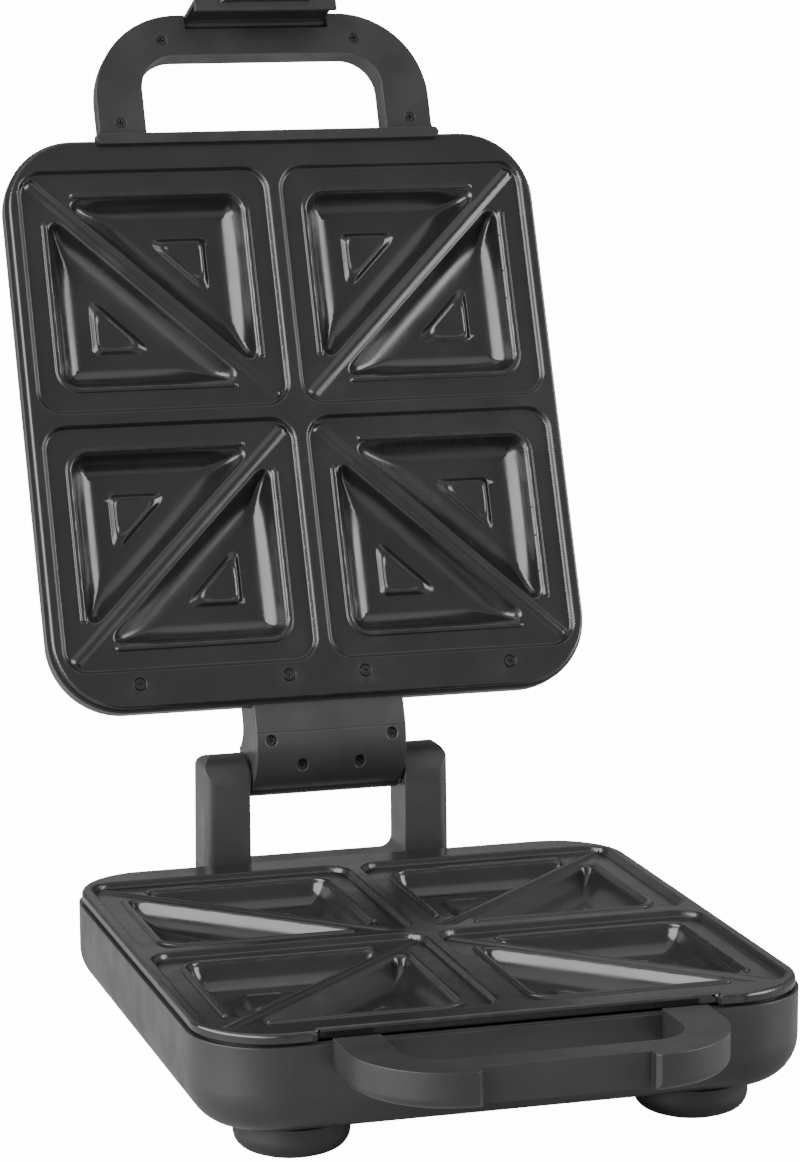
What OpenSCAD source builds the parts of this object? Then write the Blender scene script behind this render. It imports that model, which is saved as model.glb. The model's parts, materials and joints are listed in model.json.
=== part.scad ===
// Four-slice sandwich toaster: two cooking plates in a casing that opens like a book.
// X runs across the front, the two handles point to -Y, the hinge is at +Y and Z is up.
// The lid is drawn resting on its open stop; every lid piece is first drawn closed.

/* [Sandwich pockets] */
// Width of one pocket, side to side
pocket_w = 125.5; // [114:0.5:140]
// Depth of one pocket, front to back
pocket_d = 122; // [112:0.5:136]
// Flat strip between neighbouring pockets
pocket_gap = 6; // [4:0.5:12]
// Corner radius of a pocket
pocket_r = 12; // [6:1:18]
// Step down from the plate's rim to the crimping ledge
ledge_depth = 3; // [2:0.25:4.5]
// Width of the crimping ledge
ledge_w = 14; // [11:0.5:17]
// Depth of the wells below the plate's rim
well_depth = 14; // [11:0.5:15]
// Sideways run of a well's outer walls
wall_run = 9; // [4:0.5:11]
// Half width of the divider between the two wells of a pocket
divider_half = 4.5; // [3.5:0.25:6.5]
// Sideways run of a well's inner wall, square to the divider
inner_run = 12; // [8:0.5:15]
// Width of the sealing bead
bead_w = 3; // [2:0.25:4]
// Height of the sealing bead
bead_h = 1.2; // [0.6:0.1:2]
// Leg of the raised triangle on a well's floor
island_leg = 29; // [16:0.5:31]
// Height of the raised triangle
island_h = 1.2; // [0.6:0.1:2]

/* [Cooking plates] */
// Rim beside the pockets
side_margin = 5.3; // [4:0.1:14]
// Rim in front of the pockets
front_margin = 15; // [13:0.5:24]
// Rim behind the pockets
rear_margin = 18; // [16:0.5:28]
// Corner radius of the plate
plate_r = 35; // [30:1:45]
// Thickness of the cast plate
plate_t = 2.4; // [1.8:0.1:3]
// Height of the plate's folded edge
skirt_h = 4.6; // [4:0.2:7]
// Open seam between the plate's edge and the casing
seam_gap = 1; // [0.6:0.1:2]

/* [Casing] */
// Wall of the plastic casing
wall = 2.6; // [2:0.1:3.4]
// How far the casing stands out beyond the plate
casing_step = 1.4; // [0.6:0.1:3]
// Depth of the lower casing below the plate's rim
base_depth = 46.5; // [42:0.5:60]
// Depth of the lid above the plate's rim
lid_depth = 31; // [30:0.5:42]
// Radius of the lower casing's bottom edge
base_edge_r = 20; // [14:1:24]
// Radius of the lid's top edge
lid_edge_r = 20; // [14:1:22]

/* [Feet] */
// Height from the ground to the casing
foot_h = 14.5; // [8:0.5:20]
// Diameter of a foot
foot_d = 50; // [36:1:54]
// Distance from a side of the casing in to the middle of a foot
foot_side_in = 45.7; // [43.2:0.5:75.2]
// Distance from the front or rear of the casing in to the middle of a foot
foot_end_in = 39.9; // [36.9:0.5:62.9]

/* [Handles] */
// Width of the lid's handle
handle_w = 170; // [150:1:190]
// How much narrower the lower handle is on each side
handle_inset = 3; // [0:0.5:6]
// Reach of both handles beyond the casing
handle_reach = 62.5; // [56:0.5:80]
// Outer corner radius of the handles
handle_r = 44; // [30:1:50]
// Width of the handles' grip bar, front to back
grip_w = 20.5; // [18:0.5:26]
// Width of the handles' side arms
handle_side = 22; // [20:0.5:28]
// Thickness of the lower handle
base_handle_t = 15.6; // [12:0.2:18]
// Thickness of the lid's handle with its cover
lid_handle_t = 14; // [13.5:0.5:20]
// Rounding of the lid handle's outer edge
lid_edge = 5.5; // [3:0.5:10]
// Rounding of the lower handle's bottom edge
base_edge = 4; // [2:0.5:6]
// Thickness of the cover inside the lid's handle
handle_cover_t = 3; // [2.5:0.5:5]
// Drop from the plate's rim to the top of the lower handle
handle_drop = 3.1; // [2.8:0.1:4.5]

/* [Hinge] */
// Hinge axis behind the lid's rear edge
hinge_back = 31; // [30:0.5:40]
// Hinge axis above the closed plates' meeting plane
hinge_up = 33.9; // [30:0.5:42]
// Angle that the lid opens to
open_angle = 112; // [95:1:116]
// Half width of the lid's hinge tongue
tongue_half = 37.5; // [30:0.5:42]
// Width of each hinge arm
arm_w = 23.2; // [18:0.1:26]
// Depth of each hinge arm, front to back
arm_d = 25.8; // [24:0.2:32]
// Side gap between the tongue and an arm
arm_gap = 1.7; // [1.5:0.1:2.5]
// Radius of the tongue's barrel
barrel_r = 9; // [8:0.25:10]
// Radius of the hinge pins
pin_r = 4; // [3:0.25:4.5]
// Drop from the plate's rim to the top of the block between the arms
block_drop = 8.6; // [6:0.2:14]

/* [Latch] */
// Width of the latch clip
latch_w = 72; // [56:1:80]
// Width of the latch's finger tab
tab_w = 46; // [30:1:56]
// Thickness of the latch clip
latch_t = 2.4; // [2:0.1:2.8]
// Depth of the latch's seat in the lower handle
latch_seat = 6.4; // [4.6:0.1:6.6]

/* [Screws] */
// Head diameter of the small screws
head_d = 5.2; // [4.6:0.1:5.6]
// Shank diameter of the small screws
shank_d = 2.9; // [2.5:0.1:3.1]

/* [Hidden] */
$fn = 64;

charcoal = [0.2, 0.2, 0.21];
coated = [0.13, 0.13, 0.14];
steel = [0.62, 0.62, 0.64];
sheet_alu = [0.78, 0.79, 0.8];
wire_red = [0.62, 0.12, 0.1];

// Clearances: beside a screw or pin that is held, round a turning pin, and between loose pieces
held_gap = 0.05;
running_gap = 0.05;
piece_gap = 0.3;
eps = 0.01;

plate_z = foot_h + base_depth;
half_w = pocket_gap / 2 + pocket_w + side_margin;
plate_front = -(pocket_gap / 2 + pocket_d + front_margin);
plate_rear = pocket_gap / 2 + pocket_d + rear_margin;
plate_cy = (plate_front + plate_rear) / 2;
plate_w = 2 * half_w;
plate_d = plate_rear - plate_front;
casing_w = plate_w + 2 * casing_step;
casing_d = plate_d + 2 * casing_step;
casing_front = plate_front - casing_step;
casing_rear = plate_rear + casing_step;
casing_r = plate_r + casing_step;
rim_drop = skirt_h + seam_gap;

// Pocket, well, bead and island places, measured from a pocket's middle
pocket_cx = pocket_gap / 2 + pocket_w / 2;
pocket_cy = pocket_gap / 2 + pocket_d / 2;
pocket_diag = norm([pocket_w, pocket_d]) / 2;
well_x = pocket_w / 2 - ledge_w;
well_y = pocket_d / 2 - ledge_w;
well_r = 8;
pocket_gapped = plate_t + 2 * piece_gap;
bead_in = ledge_w - bead_w / 2 - 2.25;
island_in = 18.5;
bead_end = 0.66;
divider_top = 0.8;
divider_drop = 1.2;

// Plate edge: skirt, casing lip behind it, and the notch for the lid handle's root bar
skirt_t = 2.2;
lip_t = 2;
lamp_r = 4.5;
lamp_x = 12;
lamp_y = plate_front + 29;
lamp_dome = 1.4;
lamp_back = 1.4;
bulb_h = 9;
lip_gap = 0.3;
lip_drop = skirt_h + 3.6;
shelf_t = 2;
notch_half = handle_w / 2 + 3;
notch_in = 3.6;
lip_front_cut = notch_in + skirt_t + piece_gap;

// Heating element, its posts and the reflector under it
element_r = 3.2;
element_bend = 26;
element_x = pocket_cx - 2;
element_y = pocket_cy - 2;
element_leg_x = 10;
element_leg = 52;
element_drop = well_depth + plate_t + element_r + held_gap;
element_hook = 8;
reflector_drop = element_drop + element_r + 0.6;
reflector_t = 0.8;
post_r = 4.5;
post_at = 86;
pilot_depth = 8;

// Handles
handle_front = casing_front - handle_reach;
hole_front = handle_front + grip_w;
hole_half = handle_w / 2 - handle_side - 1.5;
hole_r = 18;
handle_wall = 3;
root_wall = 9;
slot_in = 7.2;
channel_in = slot_in + 2.6;
channel_side = 5;
channel_out = 3;
inset_cover_t = 3.2;
bar_half = handle_w / 2 + 2.4;
cover_gap = 0.15;
root_screw_out = 5.5;
front_screw_x = handle_w / 2 - 35.6;
front_screw_in = 13.2;
lid_screw_x = handle_w / 2 - 11;
lid_screw_back = 7.3;
base_screw_x = (handle_w / 2 - handle_inset - channel_side + hole_half + channel_out) / 2;
base_screw_back = root_wall + 5;
bar_h = 3.2;
bar_front = casing_front - 1.1;
bar_rear = plate_front + notch_in - 0.9;
seat_half = latch_w / 2 + 0.6;
seat_chamfer = 2;

// Hinge
axis_y = casing_rear + hinge_back;
axis_h = hinge_up;
meet_gap = 0.6;
arm_in = tongue_half + arm_gap;
arm_out = arm_in + arm_w;
arm_r = arm_d / 2;
arm_corner = 6;
arm_taper = 1.4;
arm_edge = 6;
block_rear = axis_y + arm_r;
block_top = -block_drop;
block_low = 5.5 - base_depth;
block_wall = 5;
block_front_wall = 9;
block_fillet = 6;
cavity_half = arm_out - block_wall;
cavity_top = block_top - block_wall + 1;
cavity_low = block_low + block_wall - 1;
cover_t = 2.4;
cover_lap = 1.2;
boss_r = 4;
bush_wall = 2;
bush_flange = 1.2;
bush_len = 14;
pin_in = 12;
pin_out = 16;

// Tongue, in the closed lid's frame: its lower face is an arc about this centre
lid_axis_h = axis_h - meet_gap;
arc_r = 27.7;
arc_y = axis_y - 20.2;
arc_z = arc_r + 4.2;
tongue_cover_t = 2.6;
tongue_wall = 3;
tongue_root = casing_rear - lid_edge_r + 2;
tongue_top = lid_depth - 1;
tongue_hollow = 9;
split_at = 3.5;

// Latch: pivot place in the closed lid's frame, then its hook measured from the pivot
latch_back = 3.4;
latch_y = handle_front + latch_back;
latch_z = 4.9;
latch_pin_r = 1.5;
latch_boss_r = 3;
latch_face = 1.3;
latch_toe = latch_seat - latch_back - 0.4;
latch_toe_t = 2.4;
hook_drop = latch_z + meet_gap + handle_drop + base_handle_t + 0.5;
tab_drop = 3.2;
tab_flare = 1.2;
tab_r = 5;
latch_pin_in = 4;
slot_top = latch_z + latch_boss_r + 0.5;

// Screw lengths and heads
head_h = 2;
screw_pad_h = 5.5;
plate_screw_len = screw_pad_h + 8.5;
plate_screw_sink = 0.2;
plate_screw_side = 40.9;
plate_screw_mid = 19.1;
plate_screw_end = 11.5;
cross_w = 0.9;
cross_l = 3;
foot_screw_d = 4;
foot_head_d = 8;
pad_d = 34;
pad_t = 1.6;
pad_proud = 0.6;
foot_round = 8;
foot_x = casing_w / 2 - foot_side_in;
foot_y = casing_d / 2 - foot_end_in;

// Middle of the whole outline with the lid open, which the origin stands under
tip_round = lid_edge;
tip_y = handle_front + tip_round - axis_y;
tip_z = lid_handle_t + meet_gap - tip_round - axis_h;
lid_tip = axis_y + tip_y * cos(open_angle) + tip_z * sin(open_angle) + tip_round;
crown_y = casing_front + lid_edge_r - axis_y;
crown_z = lid_depth + meet_gap - lid_edge_r - axis_h;
lid_crown = axis_y + crown_y * cos(open_angle) + crown_z * sin(open_angle) + lid_edge_r;
back_reach = max(lid_tip, lid_crown, block_rear);
mid_y = (handle_front + back_reach) / 2;

// ---- Shared shapes ----

module rounded_rect(w, d, r) {
    square([w - 2 * r, d], center = true);
    square([w, d - 2 * r], center = true);
    for (sx = [-1, 1], sy = [-1, 1])
        translate([sx * (w / 2 - r), sy * (d / 2 - r)])
            circle(r);
}

// Prism with its top at z = top
module slab(w, d, r, top, t) {
    translate([0, 0, top - t])
        linear_extrude(t)
            rounded_rect(w, d, r);
}

module edge_profile(r, edge_r, h) {
    square([r - edge_r, h]);
    translate([0, edge_r])
        square([r, h - edge_r]);
    translate([r - edge_r, edge_r])
        intersection() {
            circle(edge_r);
            translate([0, -edge_r])
                square(edge_r);
        }
}

// Solid tub standing on z = 0, with a rounded bottom edge all round
module tub(w, d, r, edge_r, h) {
    translate([-(w / 2 - r), -(d / 2 - r), 0])
        cube([w - 2 * r, d - 2 * r, h]);
    for (k = [0:3]) {
        across = k % 2 == 0 ? w : d;
        along = k % 2 == 0 ? d : w;
        rotate(90 * k)
            translate([across / 2 - r, along / 2 - r, 0]) {
                rotate_extrude(angle = 90)
                    edge_profile(r, edge_r, h);
                rotate([90, 0, 0])
                    linear_extrude(along - 2 * r)
                        edge_profile(r, edge_r, h);
            }
    }
}

// Profile drawn in the Y-Z plane, extruded across X from -half to +half
module across_x(half) {
    translate([-half, 0, 0])
        rotate([90, 0, 90])
            linear_extrude(2 * half)
                children();
}

module cross_recess(depth) {
    for (a = [0, 90])
        rotate(a)
            translate([-cross_l / 2, -cross_w / 2, -depth])
                cube([cross_l, cross_w, depth + 1]);
}

// Screw with its head's top at z = 0 and its shank pointing down
module screw(len, d = shank_d, head = head_d, thick = head_h) {
    difference() {
        union() {
            translate([0, 0, -thick])
                cylinder(d1 = head - 0.8, d2 = head, h = thick);
            translate([0, 0, -len])
                cylinder(d = d, h = len - thick + 0.5);
        }
        cross_recess(thick * 0.6);
    }
}

// What a screw needs cut away: its shank and a seat for its head
module screw_hole(len, seat = 5, d = shank_d, head = head_d, thick = head_h) {
    translate([0, 0, -len - 1])
        cylinder(d = d + 2 * held_gap, h = len + 1);
    translate([0, 0, -thick])
        cylinder(d = head + 0.3, h = thick + seat);
}

// Lid pieces: drawn closed above z = 0, then turned about the hinge onto the open stop
module open_lid() {
    translate([0, axis_y, plate_z + axis_h])
        rotate([-open_angle, 0, 0])
            translate([0, -axis_y, meet_gap - axis_h])
                children();
}

// Base pieces: z = 0 is the plate's rim
module on_base() {
    translate([0, 0, plate_z])
        children();
}

module placed() {
    translate([0, -mid_y, 0])
        children();
}

module each_pocket() {
    for (sx = [0, 1], sy = [0, 1])
        mirror([sx, 0, 0])
            mirror([0, sy, 0])
                translate([pocket_cx, pocket_cy, 0])
                    children();
}

// ---- Cooking plates, drawn as the lower one: rim at z = 0, wells downwards ----

// Where the divider's side, d away from the pocket's diagonal, meets a well's outer sides
function side_x(y, d) = (d * 2 * pocket_diag - y * pocket_w) / pocket_d;
function side_y(x, d) = (x * pocket_d - d * 2 * pocket_diag) / pocket_w;

// Outline of the well in the corner (+x, -y), with blunt tips and a round corner
function well_outline(x, y, d, r) = let (
        tip = 5,
        a = side_x(y, d),
        b = side_y(x, d),
        u = [pocket_w, pocket_d] / (2 * pocket_diag)
    ) concat(
        [[a, -y] + u * tip, [a + tip, -y]],
        [for (t = [-90:22.5:0]) [x - r + r * cos(t), -y + r + r * sin(t)]],
        [[x, b - tip], [x, b] - u * tip]
    );

// Closed solid through outlines with the same number of points, from the top level down
module loft(levels) {
    n = len(levels[0][1]);
    last = len(levels) - 1;
    points = [for (l = levels, p = l[1]) [p[0], p[1], l[0]]];
    sides = [for (k = [0:last - 1], i = [0:n - 1])
        let (j = (i + 1) % n)
        [k * n + i, k * n + j, (k + 1) * n + j, (k + 1) * n + i]];
    top = [for (i = [n - 1:-1:0]) i];
    bottom = [for (i = [0:n - 1]) last * n + i];
    polyhedron(points, concat([top], sides, [bottom]), convexity = 4);
}

module each_well() {
    for (a = [0, 180])
        rotate(a)
            children();
}

module well_cut() {
    top = well_outline(well_x, well_y, divider_half, well_r);
    floor = well_outline(well_x - wall_run, well_y - wall_run,
        divider_half + inner_run, well_r - 3);
    loft([[1 - ledge_depth, top], [-ledge_depth, top], [-well_depth, floor]]);
}

module well_pan() {
    top = well_outline(well_x + plate_t, well_y + plate_t, divider_half - plate_t / 2, well_r + 2);
    floor = well_outline(well_x + plate_t - wall_run, well_y + plate_t - wall_run,
        divider_half + inner_run - plate_t, well_r - 1);
    loft([[-ledge_depth, top], [-well_depth - plate_t, floor]]);
}

module island() {
    corner = [well_x - island_in, island_in - well_y];
    blunt = 3;
    leg = island_leg;
    translate([corner[0], corner[1], -well_depth - eps])
        linear_extrude(island_h + eps)
            polygon([[-blunt, 0], [0, blunt], [0, leg - 2 * blunt], [-blunt, leg - 2 * blunt],
                [-(leg - 2 * blunt), blunt], [-(leg - 2 * blunt), 0]]);
}

// Raised line that closes the crust, beside the two outer sides of a well
module bead() {
    x = pocket_w / 2 - bead_in;
    y = pocket_d / 2 - bead_in;
    translate([0, 0, -ledge_depth - eps])
        linear_extrude(bead_h + eps)
            difference() {
                intersection() {
                    rounded_rect(2 * x, 2 * y, well_r + 3);
                    translate([-bead_end * x, -y])
                        square([(1 + bead_end) * x, (1 + bead_end) * y]);
                }
                rounded_rect(2 * (x - bead_w), 2 * (y - bead_w), well_r);
            }
}

// Low wall along the pocket's diagonal that parts the two wells
module divider() {
    flank = divider_half - 1;
    intersection() {
        rotate(atan2(pocket_d, pocket_w))
            rotate([90, 0, 90])
                translate([0, 0, -pocket_diag])
                    linear_extrude(2 * pocket_diag)
                        polygon([[-flank, -ledge_depth - eps], [flank, -ledge_depth - eps],
                            [divider_top, -divider_drop], [-divider_top, -divider_drop]]);
        slab(pocket_w - 5, pocket_d - 5, 4, 1, ledge_depth + 3);
    }
}

module lamp_places() {
    for (s = [-1, 1])
        translate([s * lamp_x, lamp_y, 0])
            children();
}

module post_places() {
    for (a = [0:90:270])
        rotate(a)
            translate([post_at, 0, 0])
                children();
}

// Plain plate without holes
module cast_plate() {
    difference() {
        union() {
            translate([0, plate_cy, 0])
                slab(plate_w, plate_d, plate_r, 0, plate_t);
            translate([0, plate_cy, 0])
                difference() {
                    slab(plate_w, plate_d, plate_r, 0, skirt_h);
                    slab(plate_w - 2 * skirt_t, plate_d - 2 * skirt_t, plate_r - skirt_t, 1, skirt_h + 2);
                }
            each_pocket() {
                slab(pocket_w + plate_t, pocket_d + plate_t, pocket_r, 0, ledge_depth + plate_t);
                each_well()
                    well_pan();
            }
            post_places()
                translate([0, 0, -reflector_drop])
                    cylinder(r = post_r, h = reflector_drop - plate_t / 2);
        }
        each_pocket() {
            slab(pocket_w, pocket_d, pocket_r, 1, ledge_depth + 1);
            each_well()
                well_cut();
        }
    }
    each_pocket() {
        divider();
        each_well() {
            bead();
            island();
        }
    }
}

module lower_plate_body() {
    difference() {
        union() {
            cast_plate();
            // New skirt along the notch
            translate([-notch_half - skirt_t, plate_front + notch_in, -skirt_h])
                cube([2 * (notch_half + skirt_t), skirt_t, skirt_h - plate_t / 2]);
        }
        translate([-notch_half, plate_front - 1, -skirt_h - 1])
            cube([2 * notch_half, notch_in + 1, skirt_h + 2]);
        post_places()
            translate([0, 0, -reflector_drop - 1])
                cylinder(d = shank_d + 2 * held_gap, h = pilot_depth + 1);
    }
}

module lid_screw_places() {
    for (x = [half_w - plate_screw_side, plate_screw_mid], s = [-1, 1])
        translate([s * x, plate_rear - plate_screw_end, 0])
            children();
}

// Bent tube heater: a rounded loop, open at the back, with two straight ends
module element() {
    x = element_x - element_bend;
    y = element_y - element_bend;
    module tube(len) {
        cylinder(r = element_r, h = len);
    }
    module bend(a) {
        rotate_extrude(angle = a)
            translate([element_bend, 0])
                circle(element_r);
    }
    translate([0, 0, -element_drop])
        for (s = [0, 1])
            mirror([s, 0, 0]) {
                translate([x, y, 0])
                    bend(90);
                translate([x, -y, 0])
                    rotate(-90)
                        bend(90);
                translate([element_x, -y, 0])
                    rotate([-90, 0, 0])
                        tube(2 * y);
                translate([0, -element_y, 0])
                    rotate([0, 90, 0])
                        tube(x);
                translate([element_leg_x + element_hook, element_y, 0])
                    rotate([0, 90, 0])
                        tube(x - element_leg_x - element_hook);
                translate([element_leg_x + element_hook, element_y + element_hook, 0])
                    rotate(180)
                        rotate_extrude(angle = 90)
                            translate([element_hook, 0])
                                circle(element_r);
                translate([element_leg_x, element_y + element_hook, 0])
                    rotate([-90, 0, 0])
                        tube(element_leg);
                translate([element_leg_x - 3, element_y + element_hook + element_leg - 1, -0.4])
                    cube([6, 9, 0.8]);
            }
}

// Dished metal sheet behind the heater
module reflector() {
    w = 2 * (element_x + 34);
    d = 2 * (element_y + 30);
    translate([0, 0, -reflector_drop])
        difference() {
            slab(w, d, 20, 0, reflector_t);
            post_places()
                translate([0, 0, -2])
                    cylinder(d = shank_d + 0.6, h = 4);
        }
}

// ---- Casing halves, drawn as the lower one: plate's rim at z = 0 ----

module casing_solid(depth, edge_r) {
    translate([0, plate_cy, -depth])
        tub(casing_w, casing_d, casing_r, edge_r, depth - rim_drop);
}

module casing_half(depth, edge_r) {
    lip_w = plate_w - 2 * (skirt_t + lip_gap);
    lip_d = plate_d - 2 * (skirt_t + lip_gap);
    lip_r = plate_r - skirt_t - lip_gap;
    difference() {
        casing_solid(depth, edge_r);
        translate([0, plate_cy, wall - depth])
            tub(casing_w - 2 * wall, casing_d - 2 * wall, casing_r - wall, edge_r - wall, depth);
    }
    // Shelf and lip that carry the plate's rim and shade the seam
    translate([0, plate_cy, 0])
        difference() {
            union() {
                slab(casing_w - wall, casing_d - wall, casing_r - wall / 2, -lip_drop + shelf_t, shelf_t);
                slab(lip_w, lip_d, lip_r, -plate_t, lip_drop - plate_t);
            }
            slab(lip_w - 2 * lip_t, lip_d - 2 * lip_t, lip_r - lip_t, 1, lip_drop + 2);
            translate([0, -plate_cy, 0])
                each_pocket()
                    slab(pocket_w + pocket_gapped, pocket_d + pocket_gapped, pocket_r, 1,
                        1 + ledge_depth + plate_t + piece_gap);
        }
    // Posts that press on the reflector
    post_places()
        translate([0, 0, -depth])
            cylinder(r = post_r + 1.5, h = depth - reflector_drop - reflector_t);
}

module foot_places() {
    for (sx = [-1, 1], sy = [-1, 1])
        translate([sx * foot_x, plate_cy + sy * foot_y, 0])
            children();
}

// ---- Base pieces ----

foot_boss_h = 14;
pan_screw_up = 10;
root_screw_z = -lip_drop - head_d / 2 - 0.5;
root_screw_len = wall + 9.4;
hinge_screw_len = wall + 9.4;
hatch_screw_head = 1.6;
hatch_screw_len = cover_t + 7.6;
vent = [24, 3];
vent_x = 45;
vent_step = 9;
hatch = [12, 6];
hatch_z = -22;
gland_x = -80;
gland_z = -20;
gland_bore = 3.7;
gland_barrel = 5.5;
gland_flange = 8;
wire_hole_y = 22;
block_x = -30;
block_y = 104;
block_size = [34, 14, 11];
block_step = 10;
block_bore = 5;
thermostat_r = 9;
thermostat_h = 8;
thermostat_tab = 3;
tab_end = -ledge_depth - plate_t - held_gap - thermostat_h - 3;
fuse_r = 3;
fuse_l = 22;
fuse_lead = 6;
wire_gap = 0.15;
fuse_y = -52;
fuse_z = -ledge_depth - plate_t - fuse_r - held_gap;
cover_sink = 0.2;
cover_screw_len = 10;

// Screws along Y that hold the handles and the hinge, with their heads inside the casing
module root_screw_places(z) {
    for (s = [-1, 1])
        translate([s * (hole_half + root_screw_out), casing_front + wall + head_h, z])
            rotate([-90, 0, 0])
                children();
}

module hinge_screw_places(z) {
    for (x = [-30, -12, 12, 30])
        translate([x, casing_rear - wall - head_h, z])
            rotate([90, 0, 0])
                children();
}

module base_housing() {
    color(charcoal)
        placed()
            on_base()
                difference() {
                    union() {
                        casing_half(base_depth, base_edge_r);
                        foot_places()
                            translate([0, 0, -base_depth])
                                cylinder(r = 6, h = foot_boss_h);
                    }
                    // Front notch, so that the lid handle's root bar closes over the lower handle
                    translate([-notch_half - skirt_t - piece_gap, casing_front - 1, -rim_drop])
                        cube([2 * (notch_half + skirt_t + piece_gap),
                            casing_step + lip_front_cut + 1, rim_drop]);
                    post_places()
                        translate([0, 0, pan_screw_up - base_depth])
                            mirror([0, 0, 1])
                                screw_hole(40, seat = pan_screw_up + 1);
                    foot_places()
                        translate([0, 0, -base_depth - 1])
                            cylinder(d = foot_screw_d + 2 * held_gap, h = foot_boss_h);
                    translate([gland_x, casing_rear - wall - 1, gland_z])
                        rotate([-90, 0, 0])
                            cylinder(r = gland_barrel + held_gap, h = wall + 2);
                    translate([-hatch[0] / 2, casing_rear - wall - 1, hatch_z])
                        cube([hatch[0], wall + 2, hatch[1]]);
                    for (s = [-1, 1], k = [-3:3])
                        translate([s * vent_x - vent[0] / 2, k * vent_step + plate_cy - vent[1] / 2,
                            -base_depth - 1])
                            cube([vent[0], vent[1], wall + 2]);
                    root_screw_places(root_screw_z)
                        screw_hole(root_screw_len);
                    hinge_screw_places(root_screw_z)
                        screw_hole(hinge_screw_len);
                }
}

// ---- Handles ----

module handle_plan(w, front, r, rear) {
    d = 2 * (rear - front + r);
    intersection() {
        translate([0, front + d / 2])
            rounded_rect(w, d, r);
        translate([-w / 2, front - 1])
            square([w, rear - front + 1]);
    }
}

// D-shaped bar on z = 0, rounded along its upper outer edge, with the hand hole through it
module handle_bar(inset, t, edge, rear) {
    w = handle_w - 2 * inset;
    d = 2 * (handle_reach + handle_r);
    difference() {
        intersection() {
            translate([0, handle_front + d / 2, t])
                mirror([0, 0, 1])
                    tub(w, d, handle_r, edge, t);
            translate([-w, handle_front - 1, -1])
                cube([2 * w, rear - handle_front + 1, t + 2]);
        }
        translate([0, 0, -1])
            linear_extrude(t + 2)
                handle_plan(2 * hole_half, hole_front, hole_r, rear + 1);
    }
}

// Prism between the handle's outline moved in and the hand hole's outline moved out
module handle_ring(inset, gap, t) {
    inside = channel_in + gap;
    beside = channel_out + gap;
    linear_extrude(t)
        difference() {
            handle_plan(handle_w - 2 * (inset + channel_side + gap), handle_front + inside,
                handle_r - inside, casing_front - root_wall - gap);
            handle_plan(2 * (hole_half + beside), hole_front - beside, hole_r + beside, casing_front);
        }
}

// Two screws in the grip bar and one in each side arm, at x and y = casing_front - back
module handle_screw_places(x, back) {
    for (s = [-1, 1]) {
        translate([s * front_screw_x, handle_front + front_screw_in, 0])
            children();
        translate([s * x, casing_front - back, 0])
            children();
    }
}

module lid_handle_screw_places() {
    handle_screw_places(lid_screw_x, lid_screw_back)
        children();
}

module base_handle_screw_places() {
    handle_screw_places(base_screw_x, base_screw_back)
        children();
}

// Hollow of a handle, with bosses left standing at the children's places
module handle_channel(inset, t) {
    difference() {
        handle_ring(inset, 0, t);
        children();
    }
}

module screw_boss(t) {
    translate([0, 0, -1])
        cylinder(r = boss_r, h = t + 2);
}

module pilot_hole(z) {
    translate([0, 0, z])
        cylinder(d = shank_d + 2 * held_gap, h = cover_screw_len - 1);
}

// Seat of the latch in the front of the lower handle, with sloping ends
module latch_seat_cut() {
    translate([0, handle_front, -base_handle_t - 1])
        linear_extrude(base_handle_t + 2)
            polygon([[-seat_half - seat_chamfer, -1], [-seat_half - seat_chamfer, 0],
                [-seat_half, seat_chamfer], [-seat_half, latch_seat], [seat_half, latch_seat],
                [seat_half, seat_chamfer], [seat_half + seat_chamfer, 0],
                [seat_half + seat_chamfer, -1]]);
}

// Frame of the lower handle: z = 0 is its flat top
module on_base_handle() {
    color(charcoal)
        placed()
            on_base()
                translate([0, 0, -handle_drop])
                    children();
}

module base_handle() {
    hollow = base_handle_t - inset_cover_t - handle_wall;
    on_base_handle()
        difference() {
            mirror([0, 0, 1])
                handle_bar(handle_inset, base_handle_t, base_edge, casing_front);
            translate([0, 0, -handle_wall - hollow])
                handle_channel(handle_inset, hollow)
                    base_handle_screw_places()
                        screw_boss(hollow);
            translate([0, 0, -base_handle_t - 1])
                handle_ring(handle_inset, 0, inset_cover_t + 1);
            base_handle_screw_places()
                pilot_hole(inset_cover_t - base_handle_t - 1);
            latch_seat_cut();
            translate([0, 0, handle_drop])
                root_screw_places(root_screw_z)
                    screw_hole(root_screw_len);
        }
}

module base_handle_cover() {
    on_base_handle()
        translate([0, 0, -base_handle_t])
            difference() {
                handle_ring(handle_inset, cover_gap, inset_cover_t);
                base_handle_screw_places()
                    translate([0, 0, cover_sink])
                        mirror([0, 0, 1])
                            screw_hole(cover_screw_len);
            }
}

module base_handle_screws() {
    color(steel)
        on_base_handle()
            base_handle_screw_places()
                translate([0, 0, cover_sink - base_handle_t])
                    mirror([0, 0, 1])
                        screw(cover_screw_len);
}

module base_root_screws() {
    color(steel)
        placed()
            on_base()
                root_screw_places(root_screw_z)
                    screw(root_screw_len);
}

// ---- Base: plate, heater and wiring ----

module lower_plate() {
    color(coated)
        placed()
            on_base()
                lower_plate_body();
}

module lower_plate_screws() {
    color(steel)
        placed()
            on_base()
                post_places()
                    translate([0, 0, pan_screw_up - base_depth])
                        mirror([0, 0, 1])
                            screw(base_depth - pan_screw_up - reflector_drop + pilot_depth - 1);
}

module lower_element() {
    color(steel)
        placed()
            on_base()
                element();
}

module lower_reflector() {
    color(sheet_alu)
        placed()
            on_base()
                difference() {
                    reflector();
                    translate([0, wire_hole_y, -reflector_drop - 2])
                        cylinder(r = 6, h = 4);
                }
}

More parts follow.
